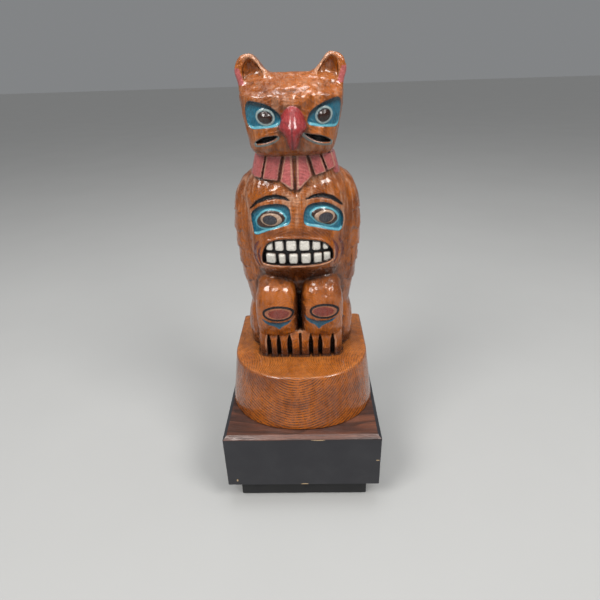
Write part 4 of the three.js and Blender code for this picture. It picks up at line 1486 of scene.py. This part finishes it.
BLOCK_BEVEL = 0.0025
BLOCK_CORNER, FOOT_CORNER = 0.0005, 0.0008
block = slab("plinth_block", block_low, block_high, BLOCK_BEVEL, BLOCK_CORNER)
foot = slab("plinth_foot", foot_low, foot_high, 0, FOOT_CORNER)
print("block, foot:", len(block.data.polygons), len(foot.data.polygons), "faces")

# %% The chip group
chip_group, chip_in, chip_out = new_group("Chips", [
    ("Place", VECTOR, None), ("Centre", VECTOR, None), ("Size", VECTOR, None)], [("Bare", FLOAT)])
offset = node(chip_group, "VectorMath", {0: chip_in.outputs["Place"], 1: chip_in.outputs["Centre"]},
              operation="SUBTRACT")
scaled = node(chip_group, "VectorMath", {0: offset.outputs[0], 1: chip_in.outputs["Size"]},
              operation="DIVIDE")
away = node(chip_group, "VectorMath", {0: scaled.outputs[0]}, operation="LENGTH").outputs["Value"]
ragged = maths(chip_group, "ADD", away, noise(chip_group, chip_in.outputs["Place"], 900.0, 3.0))
feed(chip_group, chip_out.inputs["Bare"], span(chip_group, ragged, 1.25, 1.05))
print("group:", chip_group.name, "with", len(chip_group.nodes), "nodes")

# %% Black lacquer
LACQUER = (0.011, 0.011, 0.015, 1)
LACQUER_DUST = (0.03, 0.03, 0.034, 1)
CHIP = (0.42, 0.30, 0.17, 1)
CHIP_DEEP = 0.004
lacquer, tree, shader = new_material("black_lacquer")
spot = node(tree, "TexCoord").outputs["Object"]
dust = span(tree, noise(tree, spot, 55.0, 4.0), 0.35, 0.75)
colour = blend(tree, times(tree, dust, 0.35), LACQUER, LACQUER_DUST)
for x, z, wide, tall in ((0.0105, block_high.z - 0.0026, 0.006, 0.0009),
                         (0.001, block_low.z + 0.0008, 0.0035, 0.0007),
                         (-0.0445, block_low.z + 0.0045, 0.0008, 0.0016),
                         (0.0492, block_low.z + 0.022, 0.002, 0.0006)):
    bare = place_group(tree, chip_group, {"Place": spot, "Centre": (x, block_low.y, z),
                                          "Size": (wide, CHIP_DEEP, tall)})
    colour = blend(tree, bare.outputs["Bare"], colour, CHIP)
feed(tree, shader.inputs["Base Color"], colour)
feed(tree, shader.inputs["Roughness"],
     span(tree, noise(tree, spot, 90.0, 4.0), 0.3, 0.7, 0.34, 0.44))
orange_peel = node(tree, "Bump", {"Height": noise(tree, spot, 1400.0, 2.0), "Distance": 0.0001,
                                  "Strength": 0.15})
feed(tree, shader.inputs["Normal"], orange_peel.outputs[0])
print("lacquer nodes:", len(tree.nodes))

# %% Walnut top
WALNUT_PALE, WALNUT_DARK = (0.135, 0.048, 0.026, 1), (0.05, 0.019, 0.013, 1)
WALNUT_RING, WALNUT_PORE = (0.016, 0.008, 0.006, 1), (0.008, 0.005, 0.004, 1)
walnut, tree, shader = new_material("walnut_top")
spot = node(tree, "TexCoord").outputs["Object"]
board = stretched(tree, spot, (1, 1, 1), (0, math.radians(90), 0), (0, 0.02, 0.13))
grain = place_group(tree, grain_group, {"Place": board, "Rings per mm": 0.42, "Waver": 0.9,
                                        "Pore size": 1500.0})
colour = blend(tree, grain.outputs["Bands"], WALNUT_PALE, WALNUT_DARK)
colour = blend(tree, times(tree, grain.outputs["Rings"], 0.6), colour, WALNUT_RING)
colour = blend(tree, times(tree, grain.outputs["Pores"], 0.4), colour, WALNUT_PORE)
feed(tree, shader.inputs["Base Color"], colour)
feed(tree, shader.inputs["Roughness"], span(tree, grain.outputs["Pores"], 0.0, 1.0, 0.3, 0.5))
fine = node(tree, "Bump", {"Height": grain.outputs["Pores"], "Distance": 0.0001, "Strength": 0.5})
feed(tree, shader.inputs["Normal"], fine.outputs[0])
print("walnut nodes:", len(tree.nodes))

# %% Matt black foot
FOOT_BLACK, FOOT_DUST = (0.007, 0.007, 0.008, 1), (0.018, 0.018, 0.02, 1)
matt, tree, shader = new_material("matt_black")
spot = node(tree, "TexCoord").outputs["Object"]
dust = span(tree, noise(tree, spot, 70.0, 4.0), 0.4, 0.8)
feed(tree, shader.inputs["Base Color"], blend(tree, dust, FOOT_BLACK, FOOT_DUST))
feed(tree, shader.inputs["Roughness"], span(tree, dust, 0.0, 1.0, 0.5, 0.7))
fine = node(tree, "Bump", {"Height": noise(tree, spot, 1200.0, 2.0), "Distance": 0.0001,
                           "Strength": 0.2})
feed(tree, shader.inputs["Normal"], fine.outputs[0])
print("foot nodes:", len(tree.nodes))

# %% Dress the block and foot
block.data.materials.append(lacquer)
block.data.materials.append(walnut)
for face in block.data.polygons:
    front_bevel = face.normal.z > 0.3 and abs(face.normal.x) < 0.3
    face.material_index = 1 if face.normal.z > 0.9 or front_bevel else 0
foot.data.materials.append(matt)
for piece, name, slot in ((block, "block", "black_plinth"), (foot, "foot", "black_foot")):
    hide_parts(name)
    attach(piece, "root")
print("walnut faces:", sum(face.material_index for face in block.data.polygons))

# %% [markdown]
# ## Camera, floor and light
# The camera stands where the photograph was taken from, a little to the right of the middle and
# looking down. The floor is plain and pale. Two square panels stand in front, one to each side, and
# give the varnish its highlights. A panel overhead, a wide soft light and a dim pale surround fill
# the rest.

# %% Camera
CAMERA_PLACE = Vector((0.008, -0.2642, 0.2662))
LENS_MM, SENSOR_MM = 26.81, 36
PITCH, YAW, ROLL = (math.radians(a) for a in (26.95, -1.70, 1.85))
ahead = Vector((math.sin(YAW) * math.cos(PITCH), math.cos(YAW) * math.cos(PITCH),
                -math.sin(PITCH)))
level_right = Vector((math.cos(YAW), -math.sin(YAW), 0))
level_down = ahead.cross(level_right)
right = math.cos(ROLL) * level_right + math.sin(ROLL) * level_down
down = -math.sin(ROLL) * level_right + math.cos(ROLL) * level_down
turned = Matrix((right, -down, -ahead)).transposed()
camera_data = bpy.data.cameras.new("camera")
camera_data.sensor_width = SENSOR_MM
camera_data.lens = LENS_MM
camera_data.clip_start = 0.01
camera = bpy.data.objects.new("camera", camera_data)
camera.matrix_world = Matrix.Translation(CAMERA_PLACE) @ turned.to_4x4()
bpy.context.scene.collection.objects.link(camera)
bpy.context.scene.camera = camera
print("camera", round(CAMERA_PLACE.length, 3), "m from the middle of the underside")

# %% Floor
FLOOR_HALF = 12.0
FLOOR_DARKER, FLOOR_PALER = (0.33, 0.33, 0.325, 1), (0.36, 0.36, 0.355, 1)
floor = mesh_object("floor", [(-FLOOR_HALF, -FLOOR_HALF, 0), (FLOOR_HALF, -FLOOR_HALF, 0),
                              (FLOOR_HALF, FLOOR_HALF, 0), (-FLOOR_HALF, FLOOR_HALF, 0)],
                    [(0, 1, 2, 3)])
floor_paint, tree, shader = new_material("pale_floor")
spot = node(tree, "TexCoord").outputs["Object"]
feed(tree, shader.inputs["Base Color"],
     blend(tree, noise(tree, spot, 6.0), FLOOR_DARKER, FLOOR_PALER))
shader.inputs["Roughness"].default_value = 0.8
floor.data.materials.append(floor_paint)
print("floor:", 2 * FLOOR_HALF, "m wide")

# %% Soft lights
WARM, COOL = (1, 0.985, 0.96), (0.96, 0.98, 1)
FRONT_AIM, TOP_AIM = (0, 0, 0.14), (0, 0, 0.1)
FRONT_WATTS, TOP_WATTS, WIDE_STRENGTH, SURROUND_STRENGTH = 10, 3.5, 0.9, 0.3


def panel(name, place, target, size, watts, tone):
    light = bpy.data.lights.new(name, "AREA")
    light.shape = "RECTANGLE"
    light.size, light.size_y = size
    light.energy = watts
    light.color = tone
    made = bpy.data.objects.new(name, light)
    aim = Vector(place) - Vector(target)
    made.matrix_world = Matrix.Translation(place) @ aim.to_track_quat("Z", "Y").to_matrix().to_4x4()
    bpy.context.scene.collection.objects.link(made)


panel("left_front", (-0.52, -0.56, 0.96), FRONT_AIM, (0.4, 0.4), FRONT_WATTS, WARM)
panel("right_front", (0.56, -0.52, 0.96), FRONT_AIM, (0.4, 0.4), FRONT_WATTS, WARM)
panel("overhead", (0, 0.05, 1.2), TOP_AIM, (0.4, 0.25), TOP_WATTS, COOL)
sky = bpy.data.lights.new("wide_soft_top", "SUN")
sky.energy = WIDE_STRENGTH
sky.angle = math.radians(70)
sky_light = bpy.data.objects.new("wide_soft_top", sky)
sky_light.rotation_euler = (math.radians(12), 0, 0)
bpy.context.scene.collection.objects.link(sky_light)
bpy.context.scene.view_settings.view_transform = "Standard"
world = bpy.data.worlds.new("surround")
world.use_nodes = True
background = world.node_tree.nodes["Background"]
background.inputs["Color"].default_value = (0.75, 0.77, 0.79, 1)
background.inputs["Strength"].default_value = SURROUND_STRENGTH
bpy.context.scene.world = world
print("lights:", [light.name for light in bpy.data.lights])
